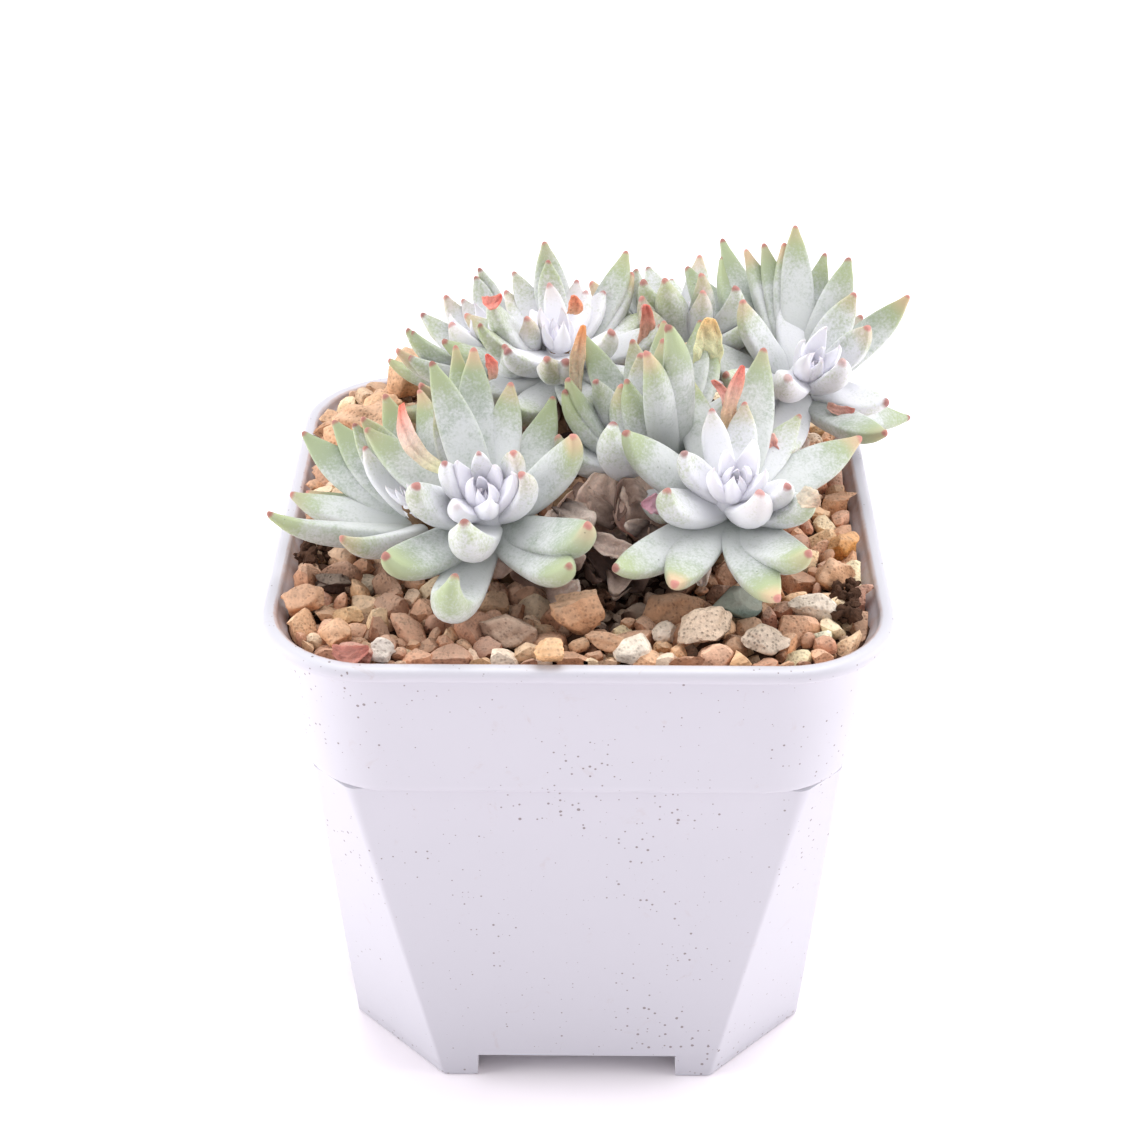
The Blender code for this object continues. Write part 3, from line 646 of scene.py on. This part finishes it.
def leafSurface(crown, axis, row, random, age, shape=leafShape):
    # a leaf as a tube about its centreline: across it the section is deep below and dished above
    _, _, length, width, _ = row
    rows, columns = shape["rows"], shape["columns"]
    even = np.linspace(0, 1, rows)
    s = np.clip((1 - np.cos(even * np.pi)) / 2 * 0.7 + even * 0.3, 0.004, 0.997)
    fine, path, along, side, twist = leafPath(crown, axis, row, random, shape)
    centre, direction = (np.stack([np.interp(s, fine, values[:, i]) for i in range(3)], 1)
                         for values in (path, along))
    direction = unit(direction)
    flat = unit(side - direction * (direction @ side)[:, None])
    upper = np.cross(direction, flat)
    roll = np.radians(twist) * s[:, None]
    flat, upper = flat * np.cos(roll) + upper * np.sin(roll), upper * np.cos(roll) - flat * np.sin(roll)
    widest = shape["widest"] + (random.uniform(*shape["stray"]) if shape["stray"] else 0)
    share = leafWidth(s, shape, widest)
    half = width / 2 * share * (1 + 0.025 * np.sin(s * 9 + random.uniform(0, 6)))
    keel = shape["keel"] * (1 + shape["keelYoung"] * (1 - age))
    deep = width * keel * (0.12 + 0.88 * share) * np.minimum(1, share / shape["thinFrom"]) ** 0.5
    x, y = circle(columns)
    top = np.clip(y, 0, 1)
    across = half[:, None] * np.sign(x) * np.abs(x) ** 0.9
    lift = deep[:, None] * (np.minimum(y, 0) + shape["top"] / keel * top)
    dish = shape["cup"] * width * np.sin(np.pi * s**0.8)[:, None]
    lift = lift - dish * top**2 + 0.5 * dish * np.abs(x) ** 3
    rings = centre[:, None] + across[..., None] * flat[:, None] + lift[..., None] * upper[:, None]
    points, faces = tube(rings, centre[0] - direction[0] * 0.05, centre[-1] + direction[-1] * width * 0.012)
    count = rows * columns
    place, tone = np.ones((count + 2, 4)), np.zeros((count + 2, 4))
    place[:count, 0], place[:count, 1] = np.repeat(s, columns), np.tile(np.abs(x), rows)
    place[count, 0] = 0
    place[:, 2], place[:, 3] = age, random.random()
    tone[:, 1], tone[:, 3] = random.random(), random.random()
    tone[:, 2] = (1 - place[:, 0]) * length / 10  # how far from the point, in centimetres
    return points, faces, {"leafPlace": place, "leafTone": tone}


def powderedLeaf():
    # a living leaf: firm grey-green skin, greener and yellower near its point, under a white waxy bloom
    # that is thick on young leaves and towards the base and rubbed off in mottles and specks on old ones.
    # The last millimetre is brownish red, on some leaves with a buff halo
    material, add = newMaterial("powderedLeaf", {
        "Roughness": 0.68, "IOR": 1.4, "Specular IOR Level": 0.32, "Subsurface Weight": 0.12,
        "Subsurface Radius": (0.9, 1.0, 0.6), "Subsurface Scale": 1.0 * mm, "Sheen Weight": 0.08,
        "Sheen Roughness": 0.6})
    coords = add("TexCoord", out="Object")
    place, chance = add("Attribute", attribute_name="leafPlace", out=("Color", "Alpha"))
    tone, third = add("Attribute", attribute_name="leafTone", out=("Color", "Alpha"))
    along, edge, age = add("SeparateColor", place, out=(0, 1, 2))
    second, fromTip = add("SeparateColor", tone, out=(1, 2))
    broad = add("TexNoise", Vector=coords, Scale=perMm(3.0), Detail=5.0, Roughness=0.62)
    fine = add("TexNoise", Vector=coords, Scale=perMm(0.4), Detail=3.0, Roughness=0.65)
    eased = {"interpolation_type": "SMOOTHSTEP"}
    # how bare the skin is: age, two sizes of noise, the leaf's own luck, and nearness to the point
    bare = add("MULTIPLY", age, add("MapRange", along, 0.10, 0.95, 0.25, 0.72, **eased))
    for uneven, amount in ((broad, 1.15), (fine, 1.25), (chance, 0.30)):
        bare = add("ADD", bare, add("MULTIPLY", add("SUBTRACT", uneven, 0.5), amount))
    end = add("MULTIPLY", add("MapRange", fromTip, 0.75, 0.15, **eased), add("MULTIPLY", age, 0.38))
    bare = add("ADD", bare, end)
    bare = add("MapRange", bare, 0.22, 1.08, 0.0, 0.9, **eased)
    ripe = add("MapRange", fromTip, 1.0, 0.15, **eased)
    rim = add("MULTIPLY", add("MapRange", edge, 0.75, 1.0, **eased), 0.35)
    skin = painted(add, "#8b9886", (ripe, "#a0ac78"), (rim, "#b9c49c"), (add("MULTIPLY", second, 0.35), "#98a695"))
    bloom = painted(add, "#e9e8ef", (age, "#c6c9c8"))
    # low down on old leaves, between their neighbours, the colour is darkened towards a dull grey-green: painted
    # shade
    paintedBaseShade = add("MULTIPLY", age, add("MapRange", along, 0.0, 0.5, 0.42, 0.0, **eased))
    # the halo and the red point end unevenly
    nearTip = add("ADD", fromTip, add("MULTIPLY", add("SUBTRACT", broad, 0.5), 0.16))
    halo = add("MULTIPLY", add("MULTIPLY", add("MapRange", third, 0.35, 1.0, **eased), age), 0.75)
    halo = add("MULTIPLY", add("MapRange", nearTip, 0.40, 0.10, **eased), halo)
    red = add("MULTIPLY", add("MapRange", nearTip, 0.085, 0.02, **eased),
              add("MapRange", age, 0.0, 0.4, 0.15, 0.9, **eased))
    point = painted(add, "#8f5652", (third, "#c08078"))
    # grey-green specks where one cell in six has lost its bloom
    distance, cell = add("TexVoronoi", Vector=coords, Scale=perMm(1.7), Randomness=1.0, out=("Distance", "Color"))
    speck = add("MULTIPLY", add("MapRange", distance, 0.12, 0.04, **eased),
                add("MapRange", add("SeparateColor", cell), 0.80, 0.9, **eased))
    speck = add("MULTIPLY", speck, add("MULTIPLY", age, 0.55))
    colour = painted(add, bloom, (bare, skin), (paintedBaseShade, "#6f7a6c"), (halo, "#cfae90"), (red, point),
                     (speck, "#5a5f50"))
    return surfaced(material, colour, add("ADD", fine, add("MULTIPLY", broad, 1.2)), 0.35, 0.16)


rosettes = {
    "front_left": {
        "crown": (-13, -22, 13), "foot": (-9, -15), "tilt": 28, "face": 265,
        "outer": [(95, 70, 23, 6.2, 10), (137, 94, 21, 6.4, 18), (226, 74, 19, 6.8, 30), (256, 94, 23, 7.2, 82),
                  (307, 77, 19, 6.8, 35), (24, 57, 18, 6, 30), (65, 98, 20, 6, 20)],
        "inner": [(107, 62, 22, 5.8, 10), (100, 73, 24, 5, 8), (80, 71, 18, 5.4, 12), (113, 78, 16, 5.2, 10),
                  (189, 57, 13, 6, 35), (258, 55, 14, 6.5, 50), (355, 41, 11, 5, 35), (325, 68, 20, 6.6, 30),
                  (221, 52, 7, 4, 30), (160, 28, 11, 4, 12), (95, 16, 10, 3.4, 10), (37, 24, 12, 4.4, 12)],
    },
    "left": {
        "crown": (-24, -14, 9), "foot": (-19, -9), "tilt": 30, "face": 185, "heart": 0.5,
        "outer": [(141, 51, 22.5, 5.8, 10), (168, 57, 19, 5.8, 10), (206, 48, 23, 5.6, 8), (89, 45, 19, 5.4, 10)],
        "inner": [(127, 46, 20, 5.8, 10), (126, 40, 12, 5, 10), (103, 30, 17, 5, 10), (120, 32, 17, 5, 10),
                  (62, 49, 18, 5, 10), (155, 70, 19, 6, 10), (235, 60, 16, 5.4, 15)],
    },
    "front_right": {
        "crown": (22, -20, 14), "foot": (16, -13), "tilt": 28, "face": 275,
        "outer": [(80, 78, 22.5, 6.6, 8), (133, 105, 19, 6, 15), (226, 79, 22, 6.2, 15), (243, 78, 19, 6.4, 22),
                  (298, 67, 19, 6.6, 30), (37, 96, 21, 6.6, 8), (329, 53, 14, 5.6, 15)],
        "inner": [(107, 88, 20, 6, 8), (161, 53, 10, 4.8, 20), (207, 68, 13, 6, 40), (282, 70, 20, 6.6, 8),
                  (296, 47, 10, 5.6, 45), (336, 46, 11, 4.8, 25), (60, 92, 16, 5, 15), (84, 70, 13, 4.8, 10),
                  (108, 60, 12, 4.4, 10), (159, 63, 18, 6.2, 15)],
    },
    "back_right": {
        "crown": (35, 14, 16), "foot": (26, 9), "tilt": 28, "face": 300, "heart": 0.88,
        "outer": [(103, 61, 23.5, 5.6, 5), (126, 88, 23, 7.0, 10), (130, 101, 26, 6.8, 12), (78, 57, 20, 6, 8),
                  (46, 73, 21, 5.6, 22), (305, 63, 18.5, 5.6, 15), (1, 112, 18, 5.6, 12)],
        "inner": [(107, 66, 21, 5.4, 8), (112, 69, 21.5, 5.2, 5), (117, 73, 21.5, 5, 5), (122, 84, 25.5, 5.2, 5),
                  (150, 60, 15, 5, 10), (109, 73, 13.5, 5, 6), (91, 64, 20, 5, 5), (69, 56, 15, 5.4, 8),
                  (30, 44, 13, 5, 30), (320, 36, 9, 4.8, 35), (234, 67, 9, 5.6, 40), (200, 80, 14, 5.4, 20),
                  (170, 88, 17, 6, 20), (215, 98, 15, 6, 25), (262, 96, 14, 5.8, 25), (340, 84, 12, 5.6, 20),
                  (60, 88, 15, 5.4, 15), (95, 84, 16, 5.4, 10)],
    },
    "middle": {
        "crown": (9.7, -6, 14.5), "foot": (8.5, -2), "tilt": 18, "face": 215,
        "heart": 0.55,
        "outer": [(114, 37, 20, 5.2, 5), (179, 24, 19, 5, 12), (56, 66, 21.5, 6, 5)],
        "inner": [(112, 46, 18.5, 5.6, 5), (183, 29, 18, 5, 12), (84, 33, 17, 5, 0), (195, -6, 14, 5.2, -5),
                  (73, 19, 15, 5.6, -5), (58, 30, 17, 5.6, -5), (72, 56, 20, 5.4, 5), (50, 71, 19.5, 5.6, 6),
                  (238, 52, 13, 6.4, 60), (270, -8, 16, 5, -4),
                  (330, 6, 22, 6.0, -4), (6, 14, 24, 7.4, 0), (150, 12, 15, 5, 0), (200, 60, 15, 5.6, 30),
                  (275, 95, 14, 6, 20), (330, 90, 14, 6, 20), (20, 80, 15, 6, 20)],
    },
    "back_left": {
        "crown": (-3, 15, 20), "foot": (-3, 8), "tilt": 12, "face": 240, "heart": 0.72,
        "outer": [(96, 38, 18, 5.6, 5), (51, 61, 19, 5.2, 5), (182, 37, 15, 5.2, 10), (331, 60, 11, 5.4, 20),
                  (221, 64, 11, 5.4, 20), (275, 66, 11, 5.4, 20)],
        "inner": [(97, 38, 14.5, 4.6, 5), (96, 44, 10, 3.6, 5), (135, 55, 6.5, 3.4, 5), (72, 56, 11, 4, 5),
                  (54, 69, 11, 4.6, 5), (47, 67, 16.5, 5.4, 5), (61, 62, 9.5, 4, 5), (133, 59, 12.5, 4.6, 5),
                  (121, 48, 14.5, 4.4, 5), (180, 76, 17, 5.2, 15), (213, 88, 16, 5.4, 25), (246, 93, 16, 5.6, 32),
                  (283, 94, 15, 5.6, 32), (318, 84, 15, 5.4, 25), (0, 80, 15, 5.4, 20), (262, 66, 12, 5, 30),
                  (200, 50, 15, 4.8, 15), (160, 70, 15, 5, 10), (30, 85, 14, 5.2, 10), (90, 70, 14, 5, 10)],
    },
    "far_left": {
        "crown": (-13, 21, 16), "foot": (-10, 13), "tilt": 25, "face": 170,
        "outer": [(73, 22, 16, 4, 5), (150, 41, 15, 4.8, 8), (199, 37, 17, 5, 10), (210, 49, 18, 5, 10)],
        "inner": [(86, 21, 14.5, 4.4, 5), (136, 27, 14, 4.6, 8), (203, 38, 16, 4.8, 10), (215, 52, 16, 5.4, 10),
                  (116, 28, 11, 4, 5), (216, 25, 10, 5, 10), (20, 60, 14, 5, 10),
                  (182, 62, 17, 5, 12), (228, 72, 17, 5.2, 20), (258, 84, 16, 5.2, 28), (292, 72, 14, 5, 28),
                  (196, 88, 17, 5.2, 18), (240, 100, 15, 5.4, 25), (320, 60, 13, 5, 20), (100, 60, 14, 4.8, 10),
                  (55, 75, 14, 5, 10), (160, 82, 15, 5, 12)],
    },
    "back_middle": {
        "crown": (16, 28, 17), "foot": (13, 20), "tilt": 12, "face": 150, "heart": 0.5,
        "outer": [(160, 48, 17, 5.6, 8), (70, 50, 15, 5, 10), (20, 55, 15, 5, 10)],
        "inner": [(140, 42, 14, 5, 5), (115, 40, 13, 5, 5), (200, 45, 14, 5.4, 10), (240, 50, 13, 5.6, 20),
                  (330, 55, 14, 5.4, 20), (182, 74, 17, 5.4, 15), (214, 80, 16, 5.4, 22), (250, 88, 16, 5.6, 28),
                  (288, 84, 15, 5.4, 26), (320, 74, 15, 5.2, 20), (0, 84, 15, 5.2, 15), (95, 70, 14, 5, 10),
                  (150, 78, 14, 5, 10), (45, 75, 14, 5, 10), (232, 40, 13, 4.8, 12), (300, 42, 12, 4.8, 12),
                  (262, 24, 15, 5.4, 5), (222, 22, 14, 5, 5), (310, 26, 14, 5, 5), (180, 18, 14, 5, 5)],
    },
}


heart = {
    "leaves": 11, "turn": 137.5, "stray": 5, "longest": 9.6, "shortest": 3.6, "broadest": 4.1, "narrowest": 1.8,
    "openest": 37, "curl": 22,
}


def heartRows(first):
    # each young leaf is turned 137.5 degrees from the last, shorter, narrower and more upright in even steps,
    # with a little of its own in its turn and lean
    h = heart
    for k in range(h["leaves"]):
        share = k / (h["leaves"] - 1)
        stray = h["stray"] * math.sin(7.3 * k + first)
        yield (first + h["turn"] * k + stray, h["openest"] * (1 - 0.9 * share) + stray,
               h["longest"] + (h["shortest"] - h["longest"]) * share,
               h["broadest"] + (h["narrowest"] - h["broadest"]) * share, h["curl"])


def leafAge(length):  # 0 in the heart to 1 on the longest leaves
    return min(max((length - 6) / 13, 0), 1)


def frameOf(rosette):  # a rosette's crown, and its axis: the upright tilted towards where the rosette faces
    x, y, rise = rosette["crown"]
    tilt = math.radians(rosette["tilt"])
    axis = math.sin(tilt) * heading(rosette["face"]) + [0, 0, math.cos(tilt)]
    return np.array([x, y, pot["height"] + rise], float), axis


crownEgg = {"rows": 14, "columns": 20, "sunk": 5.2, "length": 7.2, "radius": 2.9}


def crownBud(crown, axis, size):
    # the growing point: an egg round the axis, a sine of the angle from its foot to its top, that fills the
    # space between the leaves' feet
    s = np.linspace(0.05, 0.95, crownEgg["rows"])
    side = unit(np.cross(axis, [0.3, 1, 0]))
    x, y = circle(crownEgg["columns"])
    spokes = x[:, None] * side + y[:, None] * np.cross(axis, side)
    length, foot = crownEgg["length"] * size, crown - axis * crownEgg["sunk"] * size
    radius = crownEgg["radius"] * size * np.sin(np.pi * s) ** 0.7
    rings = foot + (length * s)[:, None, None] * axis + radius[:, None, None] * spokes
    points, faces = tube(rings, foot, foot + length * axis)
    looks = {"leafPlace": [0.3, 0.0, 0.35, 0.4], "leafTone": [0.0, 0.5, 1.0, 0.5]}
    return points, faces, {key: np.tile(value, (len(points), 1)) for key, value in looks.items()}


stem = {"rows": 60, "columns": 28, "radius": 2.7, "taper": 0.8, "sunk": 3.0, "knee": 0.55}


def buildStem(name, crown, axis, foot, material):
    # a round stem along a bow from the dressing to the crown, start (1-s)^2 + 2 knee s (1-s) + crown s^2,
    # with rings left by fallen leaves
    start = np.array([*foot, dressingHeight(*foot) - stem["sunk"]])
    knee = crown - axis * np.linalg.norm(crown - start) * stem["knee"]
    s = np.linspace(0, 1, stem["rows"])[:, None]
    centre = start * (1 - s) ** 2 + knee * 2 * s * (1 - s) + crown * s**2
    along = unit((knee - start) * (1 - s) + (crown - knee) * s)
    side = unit(np.cross(along, [0.31, 0.2, 0.1]))
    up = np.cross(along, side)
    phi = np.linspace(0, 2 * np.pi, stem["columns"], endpoint=False)
    scars = 0.22 * np.abs(np.sin(s * 30 + np.sin(phi * 2 + s * 7))) + 0.12 * np.sin(phi * 5 + s * 11)
    radius = stem["radius"] - stem["taper"] * s + scars
    spokes = np.cos(phi)[:, None] * side[:, None] + np.sin(phi)[:, None] * up[:, None]
    return putMesh(f"{name}_stem", *tube(centre[:, None] + radius[..., None] * spokes, start, crown), material)


def buildRosettes():
    # for each rosette, its outer leaves one by one, its inner and young leaves with the bud as one piece, its stem
    leafSkin = powderedLeaf()
    # corky stem bark: dull brown, mottled paler where leaves dropped
    bark = dullCrumbs("stemBark", {"Roughness": 0.9, "Specular IOR Level": 0.25}, 1.2, 5.0, 0.65,
                      "#3a2a20", "#9a7c5e", 0.6, 0.4)
    for slot in bpy.data.objects["rootstock"].material_slots:
        slot.material = bark
    for number, (name, rosette) in enumerate(rosettes.items()):
        random = np.random.default_rng(100 + number)
        crown, axis = frameOf(rosette)
        for i, row in enumerate(rosette["outer"]):
            points, faces, attributes = leafSurface(crown, axis, row, random, leafAge(row[2]))
            obj = putMesh(f"{name}_outer_leaf_{i + 1}", points, faces, leafSkin, attributes)
            declare(obj, "leaf", f"{name}_leaf_{i + 1}")
        parts = [leafSurface(crown, axis, row, random, leafAge(row[2])) for row in rosette["inner"]]
        size = rosette.get("heart", 1)
        for turn, lean, length, width, curl in heartRows(31 * number):
            row = (turn, lean, length * size, width * size, curl)
            parts.append(leafSurface(crown, axis, row, random, 0.0, heartShape))
        parts.append(crownBud(crown, axis, 0.5 + 0.5 * size))
        points, faces, attributes = joinParts(parts)
        obj = putMesh(f"{name}_inner_leaves", points, faces, leafSkin, attributes)
        declare(obj, "leaf", f"{name}_crown")
        declare(buildStem(name, crown, axis, rosette["foot"], bark), "stem")


buildRosettes()
print("rosettes done")

witheredLeaves = {
    # name: foot, tip (mm from the pot's middle), width, bow (mm), colours from foot to tip
    "curl_left": ((-18.4, -16.5, 98.0), (-25.6, -9.0, 105.2), 2.6, -2.2, ("#b9bf94", "#e9cfc0", "#e0705c")),
    "tip_behind_left": ((-12.7, -4.8, 107.2), (-13.4, -5.0, 111.3), 1.7, 0.4, ("#dfbfae", "#e28c7c", "#df6c60")),
    "back_bud_one": ((-14.8, 13.2, 111.4), (-11.8, 13.0, 112.2), 2.0, 0.8, ("#e58c80", "#e99a8c", "#df6e64")),
    "back_bud_two": ((-1.5, 16.0, 108.0), (-1.0, 15.5, 111.2), 2.2, 0.5, ("#dfb394", "#e69c7c", "#e98e6e")),
    "back_brown": ((9.0, 14.4, 101.4), (10.0, 15.0, 110.0), 2.5, 0.7, ("#d4b29e", "#cc9886", "#d6756a")),
    "orange_tip": ((-0.4, 2.2, 101.5), (0.5, 2.2, 112.6), 2.2, -0.5, ("#e6dcc6", "#edcdae", "#f19a5e")),
    "paper_one": ((15.4, 14.0, 103.2), (20.2, 14.0, 107.4), 2.8, 2.4, ("#d8bd97", "#eddcc2", "#e0c39a")),
    "paper_two": ((14.5, 10.6, 105.0), (18.1, 10.7, 109.1), 2.4, 2.0, ("#d3b08c", "#ecd8bd", "#dcb78e")),
    "yellow_leaf": ((18.2, 7.0, 102.4), (19.3, 8.2, 111.0), 4.2, 0.4, ("#ccd3ae", "#dcd8ae", "#e6bd84")),
    "pink_curl": ((21.3, -4.6, 101.0), (19.4, -2.4, 106.0), 1.6, 1.0, ("#e8c8bf", "#e6a89c", "#dd8a7e")),
    "tan_finger": ((21.4, -10.4, 101.2), (23.3, -8.4, 111.4), 2.2, -0.6, ("#dcc398", "#e6bba8", "#de776c")),
    "gap_curl": ((6.4, -14.5, 93.6), (9.4, -17.5, 88.0), 2.4, 1.6, ("#d9bfae", "#caa295", "#c27d72")),
    "pink_stub": ((12.4, -19.5, 94.0), (8.9, -20.8, 95.6), 2.9, 0.4, ("#e4c3cb", "#dcaebb", "#c9919f")),
    "dry_on_clay": ((-33.6, -40.6, 83.6), (-28.5, -41.2, 84.2), 2.6, 0.8, ("#a2695c", "#bd8375", "#ad6a5e")),
    "dry_under_left": ((-27.6, -20.0, 88.2), (-21.6, -23.2, 87.6), 1.8, 0.5, ("#dcb5a5", "#e2c0b2", "#d2958a")),
    "right_bits": ((27.6, -9.0, 100.6), (28.6, -10.0, 97.4), 2.4, 0.6, ("#d6a79b", "#c98b80", "#d49a90")),
    "gap_paper_one": ((4.0, -11.0, 95.0), (2.0, -14.5, 86.0), 6.2, 0.8, ("#dcc3b2", "#c9a99b", "#ab8a7c")),
    "gap_paper_two": ((8.2, -12.2, 95.4), (9.2, -15.6, 86.4), 6.6, -0.8, ("#e2cbb9", "#cbaea0", "#b49385")),
    "gap_paper_three": ((0.4, -12.0, 92.4), (-2.2, -15.4, 85.0), 5.2, 0.6, ("#d0b3a3", "#b99687", "#a07d6f")),
    "gap_paper_four": ((12.6, -14.6, 92.4), (11.4, -18.4, 85.0), 5.2, -0.5, ("#c4aa9a", "#ab9083", "#937a6e")),
    "tan_end": ((30.8, -26.6, 101.0), (33.2, -28.6, 99.9), 3.0, 0.2, ("#b9b3a4", "#d6c6b0", "#b39680")),
    "under_right": ((37.7, 8.6, 96.2), (41.9, 7.8, 95.8), 1.6, 0.5, ("#c59a8c", "#b88a7e", "#bd7b72")),
}
fallen = {
    "rows": 26, "columns": 20, "perStem": 7, "seed": 71, "gap": 34, "gapMiddle": (4.5, -17.0, 86.0),
    "colours": ["#a58d80", "#54413a", "#bfa698", "#3f302b", "#d3bdb0", "#735b51", "#dccabe"],
}


def witheredSurface(foot, tip, width, bow, colours, random):
    # a dried leaf: its centreline runs from foot to tip with a sideways bow of sin(pi s); the section is a
    # flattened oval with its edges rolled up, creased lengthways and pinched unevenly
    foot, tip = np.array(foot, float), np.array(tip, float)
    s = np.linspace(0.01, 0.99, fallen["rows"])[:, None]
    way = unit(tip - foot)
    side = unit(np.cross(way, [0.12, -0.85, 0.5]))
    up = np.cross(side, way)
    centre = foot + (tip - foot) * s + side * bow * np.sin(np.pi * s) + up * 0.3 * bow * np.sin(2 * np.pi * s)
    phase = random.uniform(0, 6, 4)
    swell = 1 + 0.07 * np.sin(s * 11 + phase[0]) + 0.04 * np.sin(s * 23 + phase[1])
    half = width / 2 * np.minimum(1, np.sin(np.pi * (0.12 + 0.82 * s)) ** 0.7 * 1.1) * swell
    x, y = circle(fallen["columns"])
    roll = 0.55 + 0.3 * np.sin(s * 5 + phase[2])
    crease = 0.13 * np.sin(x * 7 + s * 3 + phase[3]) + 0.06 * np.sin(s * 22 + x * 5 + phase[0])
    lift = half * (0.42 * y + roll * x**2 + crease)
    points, faces = tube(centre[:, None] + (half * x)[..., None] * side + lift[..., None] * up, foot, tip)
    tones = np.array([linear(c)[:3] for c in colours])
    place = np.concatenate([np.repeat(s[:, 0], fallen["columns"]), [0, 1]])
    mix = np.stack([np.interp(place, [0, 0.6, 1], tones[:, i]) for i in range(3)], 1)
    return points, faces, {"dryTone": np.column_stack([mix, place])}


def driedLeafSkin():
    # a dead leaf: thin, dull and papery; its colour is darker in the creases and paler on the ridges of its
    # wrinkles: painted shade and highlight
    material, add = newMaterial("driedLeafSkin", {
        "Roughness": 0.82, "Specular IOR Level": 0.3, "Subsurface Weight": 0.15,
        "Subsurface Radius": (1.2, 0.7, 0.4), "Subsurface Scale": 1.0 * mm})
    wrinkles = add("TexNoise", Vector=add("TexCoord", out="Object"), Scale=perMm(0.9), Detail=5.0, Roughness=0.65,
                   Distortion=1.2)
    tone = add("Attribute", attribute_name="dryTone", out="Color")
    # the wrinkle height scales the colour: painted shade in creases, painted highlight on ridges
    shade = add("MapRange", wrinkles, 0.3, 0.7, 0.82, 1.2)
    return surfaced(material, add("VectorMath", tone, Scale=shade, operation="SCALE"), wrinkles, 0.7, 0.4)


def fallenLeaves(random):
    # the foot, tip, width, bow and colours of each dead leaf: some hang round each stem under its living
    # leaves, and a heap of them lies in the gap between the two front rosettes
    def drawn():  # three browns, from foot to tip
        return [fallen["colours"][i] for i in random.integers(0, len(fallen["colours"]), 3)]

    for rosette in rosettes.values():
        crown, _ = frameOf(rosette)
        root = np.array([*rosette["foot"], 84.0])
        for k in range(fallen["perStem"]):
            way = heading(137.5 * k + random.uniform(-25, 25))
            foot = root + (crown - root) * random.uniform(0.2, 0.6) + way * 1.2
            tip = foot + way * random.uniform(3.5, 6.5) + [0, 0, -random.uniform(3, 7)]
            tip[2] = max(tip[2], dressingHeight(*tip[:2]) - 0.2)
            yield foot, tip, random.uniform(3, 4.8), random.normal(0, 1), drawn()
    for k in range(fallen["gap"]):
        middle = np.array(fallen["gapMiddle"]) + random.normal(0, 1, 3) * [5.5, 4.5, 2.6]
        middle[2] = max(middle[2], dressingHeight(*middle[:2]) + 0.8)
        reach = random.normal(0, 1, 3) * [1, 0.8, 0.7]
        reach *= random.uniform(2.4, 4.8) / np.linalg.norm(reach)
        yield middle - reach, middle + reach, random.uniform(2.2, 4.6), random.normal(0, 1.6), drawn()


def buildWithered():
    # the listed withered leaves as one piece, and the fallen ones as another
    skin = driedLeafSkin()
    random = np.random.default_rng(fallen["seed"])
    for name, slotName, rows in (("withered_leaves", "leaf", witheredLeaves.values()),
                                 ("dead_leaves", "bark", fallenLeaves(random))):
        points, faces, attributes = joinParts([witheredSurface(*row, random) for row in rows])
        declare(putMesh(name, points, faces, skin, attributes), slotName)


buildWithered()
print("withered leaves done")

studio = {
    # the camera in mm from the pot's middle, the floor's half-width in mm
    "cameraPlace": (1.73, -301.39, 256.06), "cameraWay": (-0.00893, 0.85314, -0.52161), "lens": 71.95,
    "floorColour": "#fdf7fb", "floorHalf": 40000, "floorDrop": 0.02,
    "worldColour": "#f7f6fb", "worldStrength": 0.70, "lampsAim": (0, 0, 0.07),
}
lamps = {
    # name: kind, place (m), size (m), or the angle of a sun (degrees), power
    "skylight": ("SUN", (0.12, 0.30, 1.0), 50, 2.55),
    "left": ("AREA", (-0.8, -0.12, 0.35), 0.6, 5.6),
    "right": ("AREA", (0.85, -0.10, 0.35), 0.6, 5.3),
}


def putObject(name, data, place, way):  # an object that looks along a direction, with +Z up in its picture
    obj = bpy.data.objects.new(name, data)
    bpy.context.scene.collection.objects.link(obj)
    obj.location = place
    obj.rotation_euler = Vector(way).to_track_quat("-Z", "Y").to_euler()
    return obj


def buildStudio():
    # the camera, a floor, an even sky and three soft lamps
    scene = bpy.context.scene
    data = bpy.data.cameras.new("camera")
    data.lens, data.sensor_width, data.clip_start = studio["lens"], 36, 0.01
    scene.camera = putObject("camera", data, np.array(studio["cameraPlace"]) * mm + potMiddle, studio["cameraWay"])

    # pale paper without gloss, so that the pot's shadow stays soft
    paper, _ = newMaterial("paperSweep", {
        "Roughness": 0.9, "Specular IOR Level": 0.1, "Base Color": linear(studio["floorColour"])})
    corners = np.array([(-1, -1), (1, -1), (1, 1), (-1, 1)]) * studio["floorHalf"]
    corners = np.column_stack([corners, np.full(4, -studio["floorDrop"])])
    putMesh("floor", corners, [np.array([[0, 1, 2, 3]])], paper)

    world = bpy.data.worlds.new("studioWorld")
    world.use_nodes = True
    background = world.node_tree.nodes["Background"]
    background.inputs["Color"].default_value = linear(studio["worldColour"])
    background.inputs["Strength"].default_value = studio["worldStrength"]
    scene.world = world

    for name, (kind, place, size, power) in lamps.items():
        lamp = bpy.data.lights.new(name, kind)
        if kind == "SUN":
            lamp.angle = math.radians(size)
        else:
            lamp.shape, lamp.size = "SQUARE", size
        lamp.energy = power
        putObject(name, lamp, place, np.array(studio["lampsAim"]) - np.array(place))
    scene.view_settings.view_transform = "Standard"
    scene.view_settings.look = "None"


buildStudio()
print("studio done")
